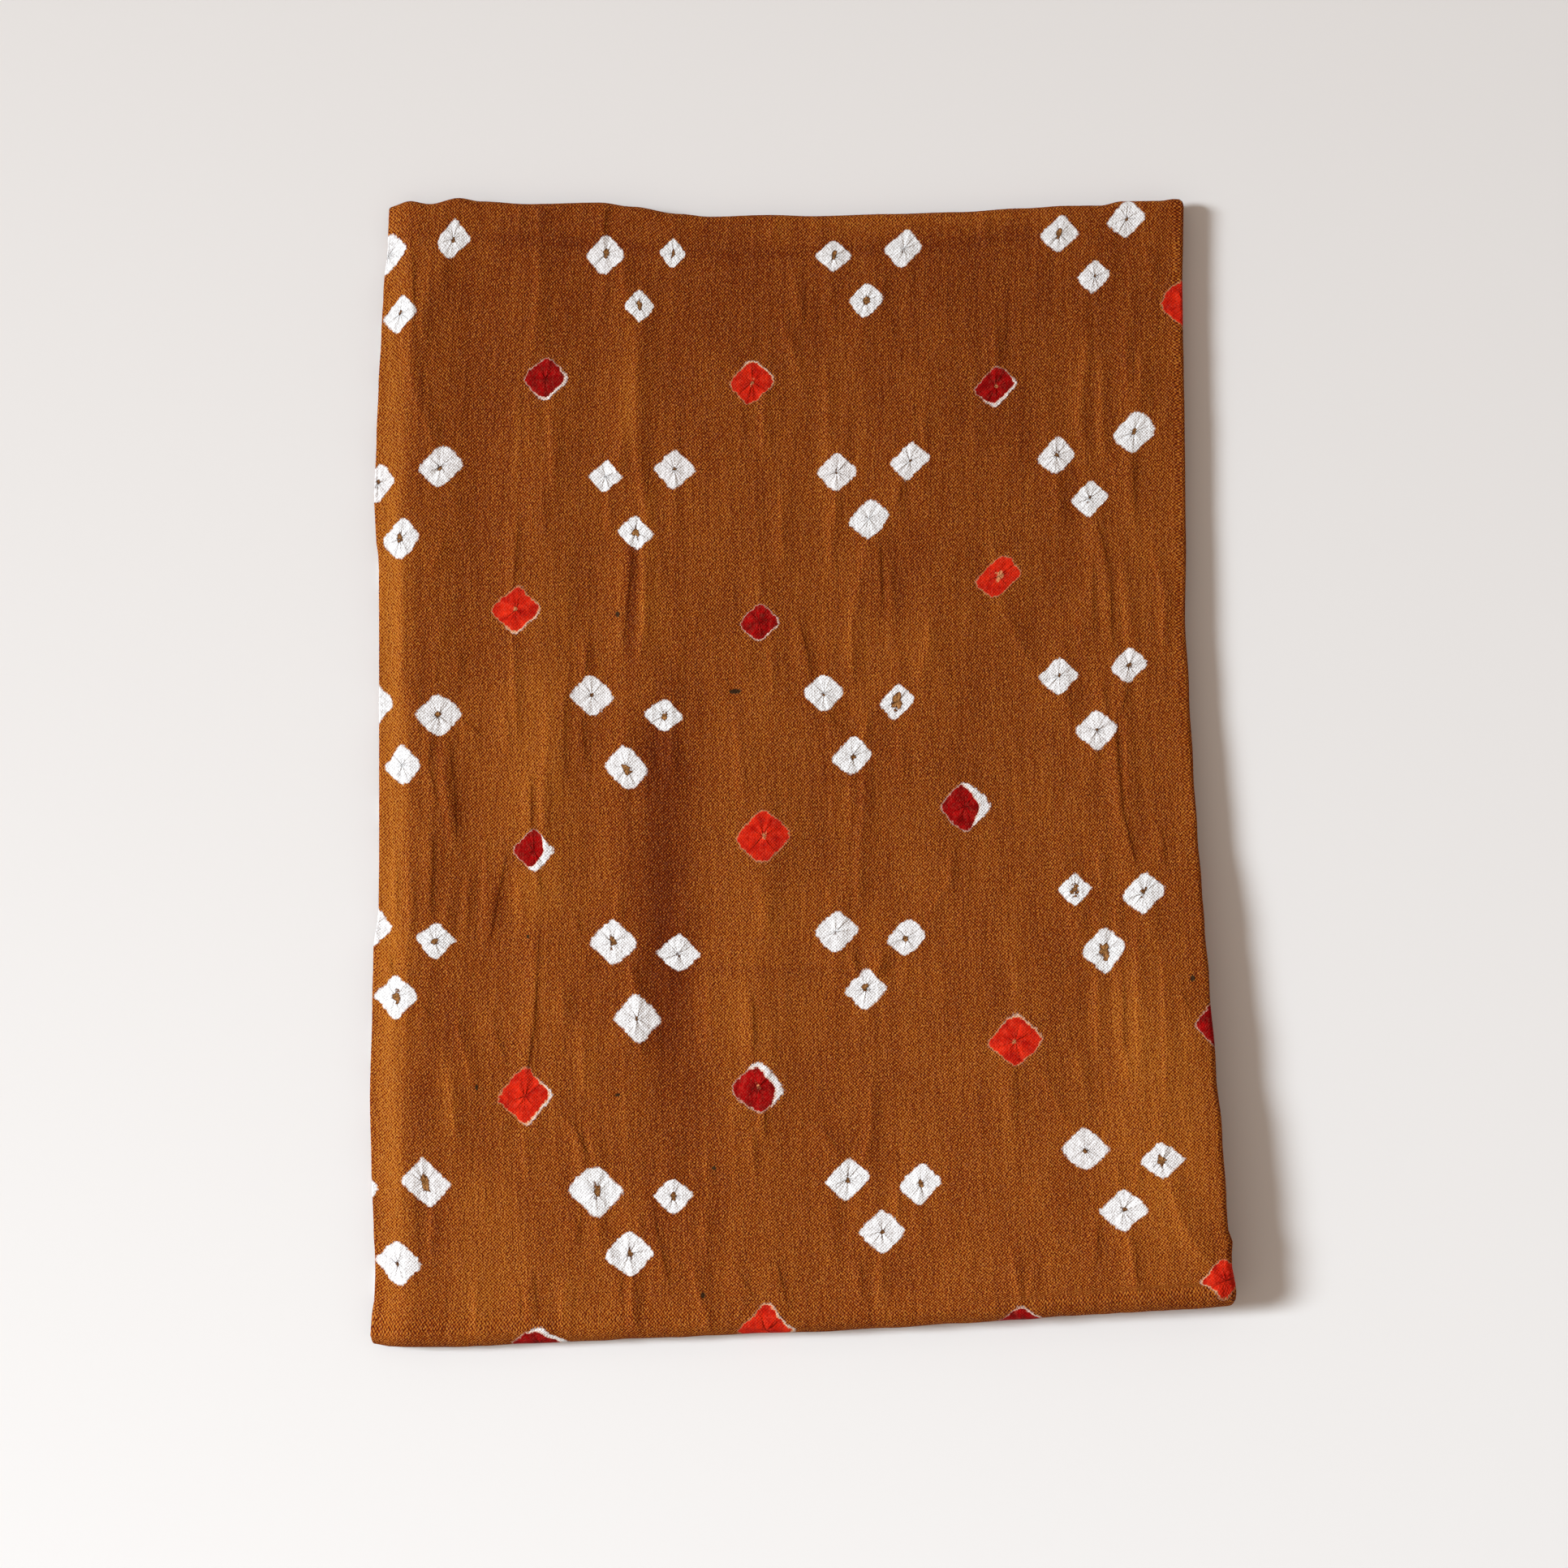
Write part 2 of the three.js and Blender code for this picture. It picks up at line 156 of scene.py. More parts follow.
# Creases pressed into the top layer alone. Each is a steep side of this half width along its line, whose
# top sinks softly away over its reach, in pixels: on the line's right, or on its left below zero.
Crease = namedtuple("Crease", "x0 y0 x1 y1 width reach rise")
CREASES = [Crease(*row) for row in (
    (492, 410, 512, 500, 5, 14, 1), (510, 495, 534, 548, 5, 14, 1), (514, 388, 521, 418, 4, 10, 0.85),
    (530, 305, 516, 400, 5, 14, 0.75), (506, 262, 512, 430, 6, -16, 0.95),
    (662, 338, 654, 430, 5, 16, 0.85), (676, 498, 679, 600, 4, 12, 0.9),
    (657, 300, 662, 340, 4, 12, 0.75), (635, 486, 630, 520, 5, 12, 0.75),
    (761, 318, 770, 372, 5, 18, 0.95), (780, 396, 783, 560, 9, 18, 1.0),
    (766, 535, 757, 585, 5, 12, 0.95), (780, 545, 789, 605, 5, 12, 0.95),
    (787, 598, 797, 645, 6, 14, 1.2), (745, 336, 743, 360, 4, 10, 0.75), (745, 606, 747, 648, 3, 10, 1),
    (951, 258, 948, 300, 4, 12, 1.1), (822, 258, 833, 292, 5, 12, 0.75),
    (637, 256, 638, 282, 6, 14, 0.75), (661, 256, 662, 290, 6, 14, 0.75),
    (1003, 258, 1005, 285, 5, 12, 0.75), (1210, 256, 1208, 292, 6, 12, 0.75),
    (747, 246, 745, 286, 4, -12, 0.85), (973, 340, 986, 395, 4, 12, 0.85),
    (961, 392, 974, 435, 4, 12, 0.95), (974, 430, 985, 470, 5, 12, 0.75),
    (937, 498, 938, 555, 4, 12, 0.95), (961, 600, 959, 700, 5, 14, 0.75),
    (1016, 455, 1018, 560, 4, 14, 0.75), (1028, 604, 1027, 645, 4, 10, 0.95),
    (1113, 592, 1106, 624, 3, -8, 1),
    (1086, 340, 1082, 372, 4, 8, 0.95), (1133, 498, 1136, 548, 5, 12, 0.75),
    (1221, 395, 1225, 450, 6, 12, 0.85), (1338, 415, 1326, 515, 6, 14, 0.95),
    (1326, 510, 1332, 540, 5, 10, 0.85), (1354, 440, 1357, 560, 6, 14, 0.75),
    (1384, 390, 1388, 500, 8, 14, 0.75), (1405, 430, 1402, 505, 8, 16, 0.85),
    (1397, 556, 1400, 645, 4, -12, 1), (1366, 556, 1376, 600, 8, 18, 0.85),
    (1300, 585, 1302, 640, 4, 10, 0.85), (1408, 290, 1418, 345, 6, 12, 0.75),
    (492, 690, 491, 850, 5, 10, 0.95), (545, 662, 529, 702, 4, 10, 0.85),
    (640, 640, 633, 724, 4, -14, 0.95), (652, 600, 654, 655, 6, 10, 0.75),
    (664, 600, 667, 650, 5, 12, 0.85), (781, 676, 773, 745, 6, -14, 1.2),
    (774, 740, 769, 800, 6, -14, 0.95), (790, 668, 792, 760, 5, 12, 1.35), (792, 755, 786, 815, 5, 12, 1),
    (725, 796, 722, 835, 5, -12, 1.1), (717, 882, 722, 940, 6, -14, 0.85),
    (698, 838, 690, 872, 5, 10, 0.85), (631, 800, 632, 910, 4, 8, 0.95),
    (624, 870, 631, 925, 4, -8, 0.75), (672, 862, 668, 960, 8, 22, 0.95),
    (697, 860, 697, 955, 5, -16, 0.75), (504, 843, 524, 864, 3, -8, 0.9),
    (566, 882, 596, 908, 3, -10, 1.1), (552, 903, 561, 985, 5, -10, 0.75),
    (533, 903, 528, 945, 5, -10, 0.75), (528, 940, 540, 992, 5, -12, 0.9),
    (541, 925, 543, 990, 4, 10, 0.95), (825, 903, 825, 950, 4, 12, 0.85),
    (764, 905, 762, 925, 4, 8, 0.85), (537, 758, 541, 795, 4, 10, 0.75),
    (560, 800, 562, 838, 4, 10, 0.75), (1021, 640, 1022, 695, 6, 10, 0.75),
    (1066, 672, 1052, 735, 5, 14, 0.85), (1052, 730, 1042, 805, 6, 14, 0.75),
    (1084, 668, 1088, 745, 4, -12, 1), (1092, 690, 1096, 760, 5, 12, 0.85),
    (986, 766, 1000, 826, 4, -12, 0.95), (1050, 798, 1044, 832, 4, 10, 0.85),
    (1144, 762, 1140, 805, 4, 12, 0.95), (1140, 800, 1129, 842, 4, 12, 0.85),
    (908, 800, 910, 835, 4, 10, 0.75), (945, 795, 950, 850, 5, 12, 0.75),
    (1012, 868, 1038, 900, 3, -10, 0.95), (1068, 878, 1062, 912, 3, 8, 1.2),
    (905, 890, 910, 995, 8, 20, 0.85), (1105, 898, 1108, 965, 5, 12, 0.75),
    (1046, 955, 1046, 1020, 5, 8, 0.85), (1062, 955, 1057, 1060, 5, 12, 0.85),
    (1056, 1060, 1054, 1112, 5, 12, 0.85), (1352, 640, 1368, 700, 4, -12, 0.95),
    (1368, 695, 1371, 785, 4, -12, 0.85), (1348, 690, 1348, 780, 5, -10, 0.75),
    (1326, 745, 1330, 800, 6, 16, 0.75), (1380, 690, 1388, 790, 6, 14, 0.75),
    (1418, 675, 1434, 735, 5, 10, 0.85), (1434, 730, 1431, 795, 5, 10, 0.85),
    (1229, 742, 1264, 814, 4, 10, 0.8), (1305, 853, 1322, 885, 5, 10, 0.85),
    (1360, 845, 1366, 876, 4, -10, 0.85), (1391, 848, 1379, 884, 4, -10, 0.95),
    (1376, 896, 1380, 960, 4, -12, 1.2), (1380, 955, 1384, 1005, 4, -12, 1.2),
    (1384, 1000, 1399, 1060, 4, -14, 1.2), (1386, 880, 1388, 1000, 4, 16, 0.85),
    (1344, 916, 1345, 935, 4, 10, 0.85), (1432, 1020, 1436, 1066, 4, -10, 0.85),
    (1351, 1045, 1352, 1085, 5, 10, 0.85), (1374, 1110, 1372, 1146, 5, 10, 0.95),
    (1349, 1195, 1350, 1295, 6, 18, 0.95), (1384, 1200, 1386, 1300, 5, -12, 0.75),
    (1398, 1130, 1400, 1340, 8, 20, 0.75), (1430, 1180, 1432, 1350, 8, 20, 0.75),
    (1388, 1298, 1386, 1330, 6, 10, 1), (1325, 1300, 1330, 1335, 6, 12, 0.85),
    (1455, 1222, 1466, 1244, 3, -8, 0.85), (533, 1030, 534, 1062, 5, -12, 1.1),
    (534, 1058, 531, 1135, 6, -14, 0.95), (500, 1055, 503, 1142, 4, 10, 0.95),
    (490, 1060, 490, 1130, 4, -8, 0.85), (545, 955, 554, 1035, 3, 8, 0.95),
    (560, 975, 562, 1025, 6, -12, 0.85), (575, 1068, 570, 1145, 4, 10, 0.85),
    (595, 1040, 597, 1135, 4, 10, 0.85), (656, 958, 655, 1024, 3, -12, 1),
    (664, 955, 668, 1035, 6, 18, 1), (624, 1052, 616, 1095, 5, -14, 1.1),
    (616, 1090, 605, 1155, 6, -14, 1), (663, 1072, 668, 1098, 4, -8, 0.95),
    (636, 1080, 640, 1130, 8, 30, 0.85), (548, 1115, 547, 1132, 4, 8, 0.85),
    (480, 1178, 484, 1202, 4, -8, 0.95), (514, 1232, 532, 1252, 3, -8, 1),
    (556, 1248, 570, 1300, 4, 10, 0.85), (570, 1296, 580, 1335, 4, 10, 0.85),
    (664, 1150, 662, 1215, 4, -12, 0.85), (662, 1210, 659, 1265, 5, -14, 1.2),
    (659, 1260, 650, 1322, 4, -12, 1.25), (606, 1255, 626, 1312, 4, -10, 0.85),
    (690, 1215, 691, 1262, 5, 10, 0.85), (759, 1098, 757, 1142, 4, 8, 0.95),
    (711, 1128, 717, 1152, 4, -8, 0.85), (774, 1188, 783, 1228, 4, 8, 0.95),
    (712, 1265, 718, 1345, 8, 22, 0.95), (784, 1284, 789, 1300, 3, 8, 0.85),
    (1018, 1088, 1022, 1122, 5, 10, 0.75), (1170, 1052, 1166, 1092, 4, 10, 0.85),
    (1164, 1088, 1138, 1132, 4, 10, 0.85), (932, 1085, 938, 1150, 8, 22, 0.85),
    (938, 1112, 945, 1135, 3, 8, 0.75), (1044, 1168, 1052, 1202, 4, 8, 0.95),
    (1086, 1172, 1078, 1202, 4, 8, 0.95), (870, 1195, 868, 1300, 8, 24, 0.75),
    (928, 1225, 930, 1295, 5, -12, 0.95), (1064, 1243, 1078, 1262, 4, 8, 0.85),
    (686, 1366, 708, 1386, 4, -10, 1), (706, 1382, 727, 1428, 4, -12, 1.1),
    (720, 1378, 731, 1428, 4, 14, 0.95), (548, 1318, 560, 1405, 7, 16, 0.95),
    (656, 1384, 661, 1400, 3, 8, 0.85), (642, 1398, 646, 1455, 5, 10, 0.75),
    (529, 1488, 527, 1545, 4, 10, 0.75), (783, 1498, 788, 1528, 4, 8, 1),
    (716, 1498, 710, 1535, 7, -14, 0.85), (733, 1505, 740, 1542, 6, 12, 0.75),
    (748, 1538, 750, 1556, 4, 8, 0.95), (775, 1572, 778, 1642, 4, 9, 1.25),
    (766, 1575, 764, 1600, 5, -10, 0.85), (644, 1578, 651, 1634, 4, 8, 1),
    (640, 1580, 642, 1625, 4, -10, 0.85), (657, 1568, 663, 1625, 5, -12, 0.85),
    (692, 1580, 690, 1636, 7, 16, 1.1), (582, 1588, 584, 1642, 8, 16, 0.95),
    (849, 1558, 862, 1605, 4, 12, 0.95), (862, 1600, 871, 1648, 4, 12, 0.95),
    (804, 1480, 812, 1530, 6, -14, 0.85), (812, 1525, 826, 1585, 5, -12, 0.85),
    (1072, 1335, 1070, 1400, 4, 8, 1.1), (1070, 1395, 1061, 1434, 4, 8, 1.1),
    (1014, 1388, 1038, 1424, 4, -12, 0.95), (870, 1425, 868, 1452, 4, 10, 0.75),
    (865, 1488, 868, 1545, 5, 12, 0.85), (935, 1366, 932, 1392, 5, 8, 1),
    (944, 1368, 942, 1402, 4, -8, 0.95), (925, 1398, 923, 1432, 5, 10, 0.75),
    (1104, 1468, 1102, 1498, 4, 8, 1), (904, 1556, 930, 1598, 7, -16, 1),
    (958, 1556, 972, 1612, 8, -18, 1), (1061, 1556, 1063, 1598, 6, -12, 0.95),
    (1083, 1543, 1081, 1605, 5, 12, 0.85), (1275, 1312, 1320, 1398, 4, 8, 0.85),
    (1240, 1325, 1243, 1385, 6, 12, 0.75), (1373, 1428, 1376, 1468, 4, 8, 0.85),
    (1400, 1438, 1394, 1464, 4, 8, 0.95), (1436, 1454, 1450, 1505, 6, 20, 1),
    (1450, 1500, 1482, 1550, 6, 16, 1), (1455, 1508, 1482, 1548, 3, -8, 0.85),
    (1387, 1518, 1396, 1585, 4, 10, 1.1), (1353, 1508, 1350, 1562, 5, -12, 0.95),
    (1246, 1548, 1255, 1605, 4, 10, 0.95), (1271, 1558, 1265, 1602, 4, 10, 0.85),
    (476, 274, 900, 305, 5, -12, 0.8), (900, 305, 1150, 294, 5, -12, 0.8),
    (1150, 294, 1340, 268, 5, -12, 0.8), (840, 1197, 1060, 1193, 5, -14, 0.65),
)]

# A crease's step is a smooth one, and nine tenths of its rise lie within its half width.
STEP_STEEPNESS = 1.5

# A hollow sinks no deeper than this, nor than this share of the gap under the top layer.
DEEPEST_CREASE = 0.5
GAP_SHARE = 0.6

# The sharp line of each crease is finer than the mesh, so it is bump: its half width and how far its top
# reaches, in pixels, and its share of the crease's rise.
LINE_WIDTH = 1.7
LINE_REACH = 7.0
LINE_SHARE = 0.26

# A face of the mesh holds one crease in each of these sets. It is looked for this far before the line and
# beyond it, in pixels, and this many half lengths from its middle.
LINE_SETS = 3
LINE_BEFORE, LINE_BEYOND = -7.0, 14.0
LINE_END = 1.45

# A face is on top where all its corners belong to the top layer by at least this share.
ON_TOP_SHARE = 0.9

# The tie-dyed spots on top, each a square of cloth on its point. Place and size are in the photograph's
# pixels. Lean is how far the square's top corner lies right of its bottom corner, which makes it longer
# from lower left to upper right. Mark is the size of the dyed speck where its peak stood free.
White = namedtuple("White", "px py wide tall lean mark")
WHITES = [White(*row) for row in (
    (477, 313, 46, 48, 4, 0), (558, 293, 42, 46, 2, 8), (493, 386, 41, 44, 5, 4),
    (746, 313, 46, 46, 3, 10), (829, 312, 32, 35, 1, 7), (788, 376, 37, 40, 1, 10),
    (1027, 315, 44, 38, -2, 11), (1114, 306, 48, 45, 7, 4), (1067, 370, 42, 41, 4, 11),
    (1306, 287, 47, 45, 5, 11), (1389, 268, 47, 47, 6, 6), (1349, 340, 41, 40, 5, 3),
    (465, 595, 41, 47, 6, 5), (543, 575, 54, 49, 0, 6), (493, 663, 47, 47, 7, 11),
    (746, 587, 41, 38, 3, 0), (831, 579, 51, 47, 1, 5), (783, 656, 44, 42, 1, 12),
    (1031, 582, 50, 47, -1, 4), (1121, 568, 48, 45, 8, 3), (1071, 639, 50, 49, 9, 0),
    (1302, 561, 46, 45, 6, 8), (1398, 532, 51, 50, 10, 9), (1343, 614, 44, 44, 7, 6),
    (458, 868, 52, 60, 0, 0), (540, 882, 56, 50, -2, 10), (495, 942, 45, 47, -2, 0),
    (729, 857, 53, 49, -3, 4), (818, 882, 45, 40, 2, 11), (772, 947, 51, 52, -6, 17),
    (1015, 854, 49, 45, 1, 3), (1105, 865, 43, 43, 7, 18), (1050, 932, 50, 47, 7, 7),
    (1305, 833, 48, 45, 4, 5), (1391, 820, 45, 43, 6, 9), (1351, 900, 50, 49, 3, 5),
    (456, 1144, 48, 50, 4, 0), (536, 1159, 47, 43, -6, 10), (487, 1229, 53, 53, -2, 13),
    (755, 1161, 57, 54, -4, 12), (836, 1175, 52, 45, -2, 5), (785, 1255, 56, 57, -4, 10),
    (1030, 1148, 52, 51, 4, 4), (1117, 1155, 45, 44, 5, 8), (1067, 1219, 49, 51, 5, 11),
    (1324, 1096, 40, 39, 2, 13), (1409, 1100, 51, 49, 10, 9), (1360, 1171, 51, 54, 5, 17),
    (436, 1467, 54, 54, 0, 8), (523, 1458, 57, 57, -8, 17), (490, 1558, 53, 54, -4, 5),
    (735, 1468, 62, 60, -2, 15), (830, 1474, 46, 44, 2, 10), (776, 1545, 56, 54, 1, 11),
    (1044, 1453, 54, 53, 7, 10), (1134, 1459, 50, 51, 6, 9), (1086, 1517, 53, 53, 3, 9),
    (1336, 1415, 55, 50, -2, 7), (1430, 1429, 52, 45, 2, 13), (1383, 1490, 56, 51, 0, 8),
)]

# Mark is here a pale tick where the peak stayed clear of the second dye. Pale is the side, in degrees
# anticlockwise from the right, on which that dye stopped short, and bare is by how much: at 1 it goes
# half way to the knot's corner there.
Red = namedtuple("Red", "px py wide tall lean mark dye pale bare")
CRIMSON, ORANGE = 1.0, 2.0
REDS = [Red(*row) for row in (
    (672, 467, 56, 52, 0, 0, CRIMSON, -45, 0.2), (927, 471, 55, 53, 4, 7, ORANGE, 60, 0.1),
    (1227, 476, 53, 50, 5, 4, CRIMSON, -48, 0.24), (1460, 374, 57, 62, -6, 0, ORANGE, 0, 0.0),
    (636, 752, 61, 58, 4, 2, ORANGE, -50, 0.1), (936, 767, 47, 43, 3, 0, CRIMSON, -40, 0.06),
    (1231, 710, 56, 50, 12, 12, ORANGE, 0, 0.0), (658, 1049, 48, 50, -1, 0, CRIMSON, -26, 1.1),
    (940, 1030, 65, 62, 5, 6, ORANGE, 0, 0.0), (1189, 994, 61, 59, 4, 0, CRIMSON, 14, 0.78),
    (647, 1351, 64, 68, 3, 0, ORANGE, -20, 0.18), (934, 1340, 61, 62, -4, 3, CRIMSON, 30, 0.52),
    (1251, 1282, 64, 63, 4, 4, ORANGE, 60, 0.06), (1499, 1262, 54, 60, 0, 0, CRIMSON, 0, 0.0),
    (663, 1662, 66, 54, -2, 0, CRIMSON, 30, 0.4), (944, 1641, 64, 68, 1, 0, ORANGE, 20, 0.12),
    (1260, 1635, 66, 50, -3, 0, CRIMSON, 20, 0.12), (1508, 1576, 58, 54, 6, 0, ORANGE, 180, 0.06),
)]

# Dark flecks of seed husk that were spun into the yarn, in the photograph's pixels.
Fleck = namedtuple("Fleck", "px py wide tall")
FLECKS = [
    Fleck(906, 852, 15, 6), Fleck(1469, 1205, 6, 8), Fleck(866, 1596, 5, 9), Fleck(880, 1439, 5, 5),
    Fleck(761, 757, 5, 7), Fleck(761, 1349, 6, 4), Fleck(651, 1154, 4, 4), Fleck(587, 1340, 4, 7),
]

# Elsewhere on the cloth the same repeat goes on, evenly spaced but for the hand of the tier. It starts
# SPOT_REACH beyond the outline of the top, and ends EDGE_REACH beyond the cloth's own edges.
REPEAT_ACROSS = 283.5 * MM_PER_PIXEL
REPEAT_ALONG = 287.0 * MM_PER_PIXEL
FIRST_THREE = (505, 322)
THREE_SPREAD = (42, 16, 50)
FIRST_RED = (650, 470)
REPEATS = range(-9, 10)
HAND_WANDER = 2.0
SPOT_REACH = 9.0
EDGE_REACH = 8.0

# The ranges of the spots there: a white and a red one's width, the height as a share of it, the lean,
# the mark, the pale side and the square root of how bare it is.
PLAIN_WHITE = (44, 54)
PLAIN_RED = (52, 62)
PLAIN_HEIGHT = (0.92, 1.04)
PLAIN_LEAN = (-2, 8)
PLAIN_MARK = (3, 14)
PLAIN_PALE = (-60, 60)
PLAIN_BARE = (0, 0.7)

# A rounded square looks to lean more than its corners do.
ROUND_LEAN = 0.6

# How square a knot is, from round at 2, and the range of the numbers that tell the knots' noises apart.
SQUARENESS = (4.0, 7.5)
SEEDS = (0, 40)

# The seeds of the random draws for the knots and for their pleats.
KNOT_DRAWS, PLEAT_DRAWS = 11, 5


def read_table(table, key, place, column):
    """A column of a table at places between its rows, easing from row to row."""
    rows = sorted(table, key=lambda row: getattr(row, key))
    keys = np.array([getattr(row, key) for row in rows], float)
    values = np.array([getattr(row, column) for row in rows], float)
    place = np.clip(place, keys[0], keys[-1])
    low = np.clip(np.searchsorted(keys, place, side="right") - 1, 0, len(keys) - 2)
    share = (place - keys[low]) / (keys[low + 1] - keys[low])
    share = share * share * (3 - 2 * share)
    return values[low] + (values[low + 1] - values[low]) * share


def ease(low, high, value):
    share = np.clip((value - low) / (high - low), 0.0, 1.0)
    return share * share * (3 - 2 * share)


def swell_height(swell, x, y):
    """A long soft ridge or hollow between the swell's two ends."""
    x0, y0 = from_photo(swell.x0, swell.y0)
    x1, y1 = from_photo(swell.x1, swell.y1)
    length = math.hypot(x1 - x0, y1 - y0)
    ux, uy = (x1 - x0) / length, (y1 - y0) / length
    mx, my = x - (x0 + x1) / 2, y - (y0 + y1) / 2
    along = (mx * ux + my * uy) / (length / 2)
    across = (my * ux - mx * uy) / (swell.width * MM_PER_PIXEL)
    return swell.rise * np.exp(-across ** 2 - along ** 4)


def crease_place(crease, x, y):
    """Where a point lies along a crease, from -1 to 1, and across it, in pixels towards its top."""
    x0, y0 = from_photo(crease.x0, crease.y0)
    x1, y1 = from_photo(crease.x1, crease.y1)
    length = math.hypot(x1 - x0, y1 - y0)
    ux, uy = (x1 - x0) / length, (y1 - y0) / length
    mx, my = x - (x0 + x1) / 2, y - (y0 + y1) / 2
    along = (mx * ux + my * uy) / (length / 2)
    across = (my * ux - mx * uy) / MM_PER_PIXEL * math.copysign(1, crease.reach)
    return along, across


def crease_height(crease, x, y):
    """A steep side along the crease's line, with a top that sinks away on one side of it."""
    along, across = crease_place(crease, x, y)
    step = 0.5 + 0.5 * np.tanh(STEP_STEEPNESS * across / crease.width)
    sinking = np.exp(-(np.maximum(across, 0) / crease.reach) ** 2)
    return crease.rise * step * sinking * np.exp(-along ** 4)


def top_height(x, y):
    """The height of the bundle's top, with all that goes through its layers."""
    left, middle, right = (read_table(HEIGHTS, "y", y, name) for name in ("left", "middle", "right"))
    to_left = ease(0, 1, (LEVEL_X[1] - x) / (LEVEL_X[1] - LEVEL_X[0]))
    to_right = ease(0, 1, (x - LEVEL_X[1]) / (LEVEL_X[2] - LEVEL_X[1]))
    height = middle + (left - middle) * to_left + (right - middle) * to_right
    edge = read_table(SIDES, "y", y, "left")
    height = height - LEFT_MARGIN_DROP * (1 - ease(0, LEFT_MARGIN, x - edge))
    for swell in SWELLS:
        height = height + swell_height(swell, x, y)
    return height


def to_outline(x, y):
    """The bundle's even rectangle drawn out to its uneven outline."""
    rightward = (x + HALF_WIDTH) / (2 * HALF_WIDTH)
    forward = (y + HALF_LENGTH) / (2 * HALF_LENGTH)
    left, right = (read_table(SIDES, "y", y, name) for name in ("left", "right"))
    out_x = left + (right - left) * rightward
    bottom, top = (read_table(ENDS, "x", out_x, name) for name in ("bottom", "top"))
    return out_x, bottom + (top - bottom) * forward


Stop = namedtuple("Stop", "run kind at side height radius outer up round")
RUN, TURN, FIRST_EDGE, LAST_EDGE = range(4)

# The runs of a fold are numbered from 0, and a turn's stops lie between the numbers of its two runs. One
# run is on top. Stops nearer to it than the next value count as on top, and at the last one the top
# layer has faded out.
TOP_RUN = 1
NEAR_TOP = 0.3
TOP_FADE = 0.5


def letter_fold(fine, coarse, half, pitch, body, turn_side):
    """The stops that a letter fold's middle line passes, seen end on: from a cut edge to turn_side,
    back on top, and in again between the two. up and round tell which way its outer face looks."""
    def run_stops(run, lines, heading, height, up):
        places = sorted(lines, reverse=heading < 0)
        return [Stop(run, RUN, at, 0, height, 0, 0, up, 0) for at in places]

    def short_of_edge(side):
        """The lines of a run that ends in a cut edge on this side."""
        return [at for at in coarse if at * side <= half - LAST_LINE_SHORT]

    def turn_stops(run, side, height, radius, up):
        angles = [math.pi * i / TURN_STEPS for i in range(TURN_STEPS + 1)]
        return [
            Stop(run + angle / math.pi, TURN, 0, side, height, radius, radius + body / 2,
                 up * math.cos(angle), math.sin(angle))
            for angle in angles
        ]

    stops = [Stop(0, FIRST_EDGE, 0, -turn_side, 0, 0, 0, -1, 0)]
    stops += run_stops(0, short_of_edge(-turn_side), turn_side, 0, -1)
    stops += turn_stops(0, turn_side, pitch, pitch, -1)
    stops += run_stops(1, fine, -turn_side, 2 * pitch, 1)
    stops += turn_stops(1, -turn_side, 1.5 * pitch, pitch / 2, 1)
    stops += run_stops(2, short_of_edge(turn_side), turn_side, pitch, -1)
    stops += [Stop(2, LAST_EDGE, 0, turn_side, pitch, 0, 0, -1, 0)]
    return Stop(*(np.array(column, float) for column in zip(*stops)))


def place_stops(stops, outside, half, loose, shorts):
    """Where stops lie and how far their outer face looks sideways, for a layer that lies outside the
    fold's middle line. half is the distance to the bundle's edge, and loose widens the turns."""
    reach = stops.radius + outside
    in_turn = stops.side * (half - loose * (stops.outer - reach * stops.round))
    along = np.where(stops.kind == TURN, in_turn, stops.at)
    along = np.where(stops.kind == FIRST_EDGE, stops.side * (half - shorts[0]), along)
    along = np.where(stops.kind == LAST_EDGE, stops.side * (half - shorts[1]), along)
    return along, stops.height + reach * stops.up


def lines_between(half, margin, spacing):
    count = round(2 * (half - margin) / spacing)
    return list(np.linspace(margin - half, half - margin, count + 1))


def rough_place(stops, half, shorts):
    """About where stops lie, to read the bundle's height there."""
    place = np.where(stops.kind == RUN, stops.at, stops.side * half)
    place = np.where(stops.kind == FIRST_EDGE, stops.side * (half - shorts[0]), place)
    return np.where(stops.kind == LAST_EDGE, stops.side * (half - shorts[1]), place)


def layer_ripple(x, y, phase):
    """A shallow unevenness of crossing waves, each some centimetres long, which lie elsewhere in each
    layer."""
    ripple = np.sin(x / 7.9 + 1.7 * phase + 1.3 * np.sin(y / 31 + phase))
    ripple = ripple + np.sin(y / 9.7 - 2.3 * phase + 1.1 * np.sin(x / 23 - phase))
    return ripple + 0.6 * np.sin((x + y) / 5.3 + 4.1 * phase)


# How far each of a layer's two larger waves rises and sinks.
RIPPLE_RISE = 0.11

# The lowest layer lies flat. Layers ripple from the first of these heights, fully from the second.
RIPPLE_HEIGHTS = (0.3, 3.0)

# Layers ripple less where the bundle is pressed flatter: not at all where their pitch is the first of
# these shares of its usual one, and fully from the second on.
RIPPLE_ROOM = (0.4, 1.1)

# How far the waves of a layer are shifted from those of the next, in a strip and from strip to strip.
LAYER_PHASE, STRIP_PHASE = 2.1, 5.3

# The sides of the hidden strips wander in and out.
SIDE_WANDER = 0.35
SIDE_WANDER_LENGTH = 17.0
SIDE_WANDER_PHASE = 5.0


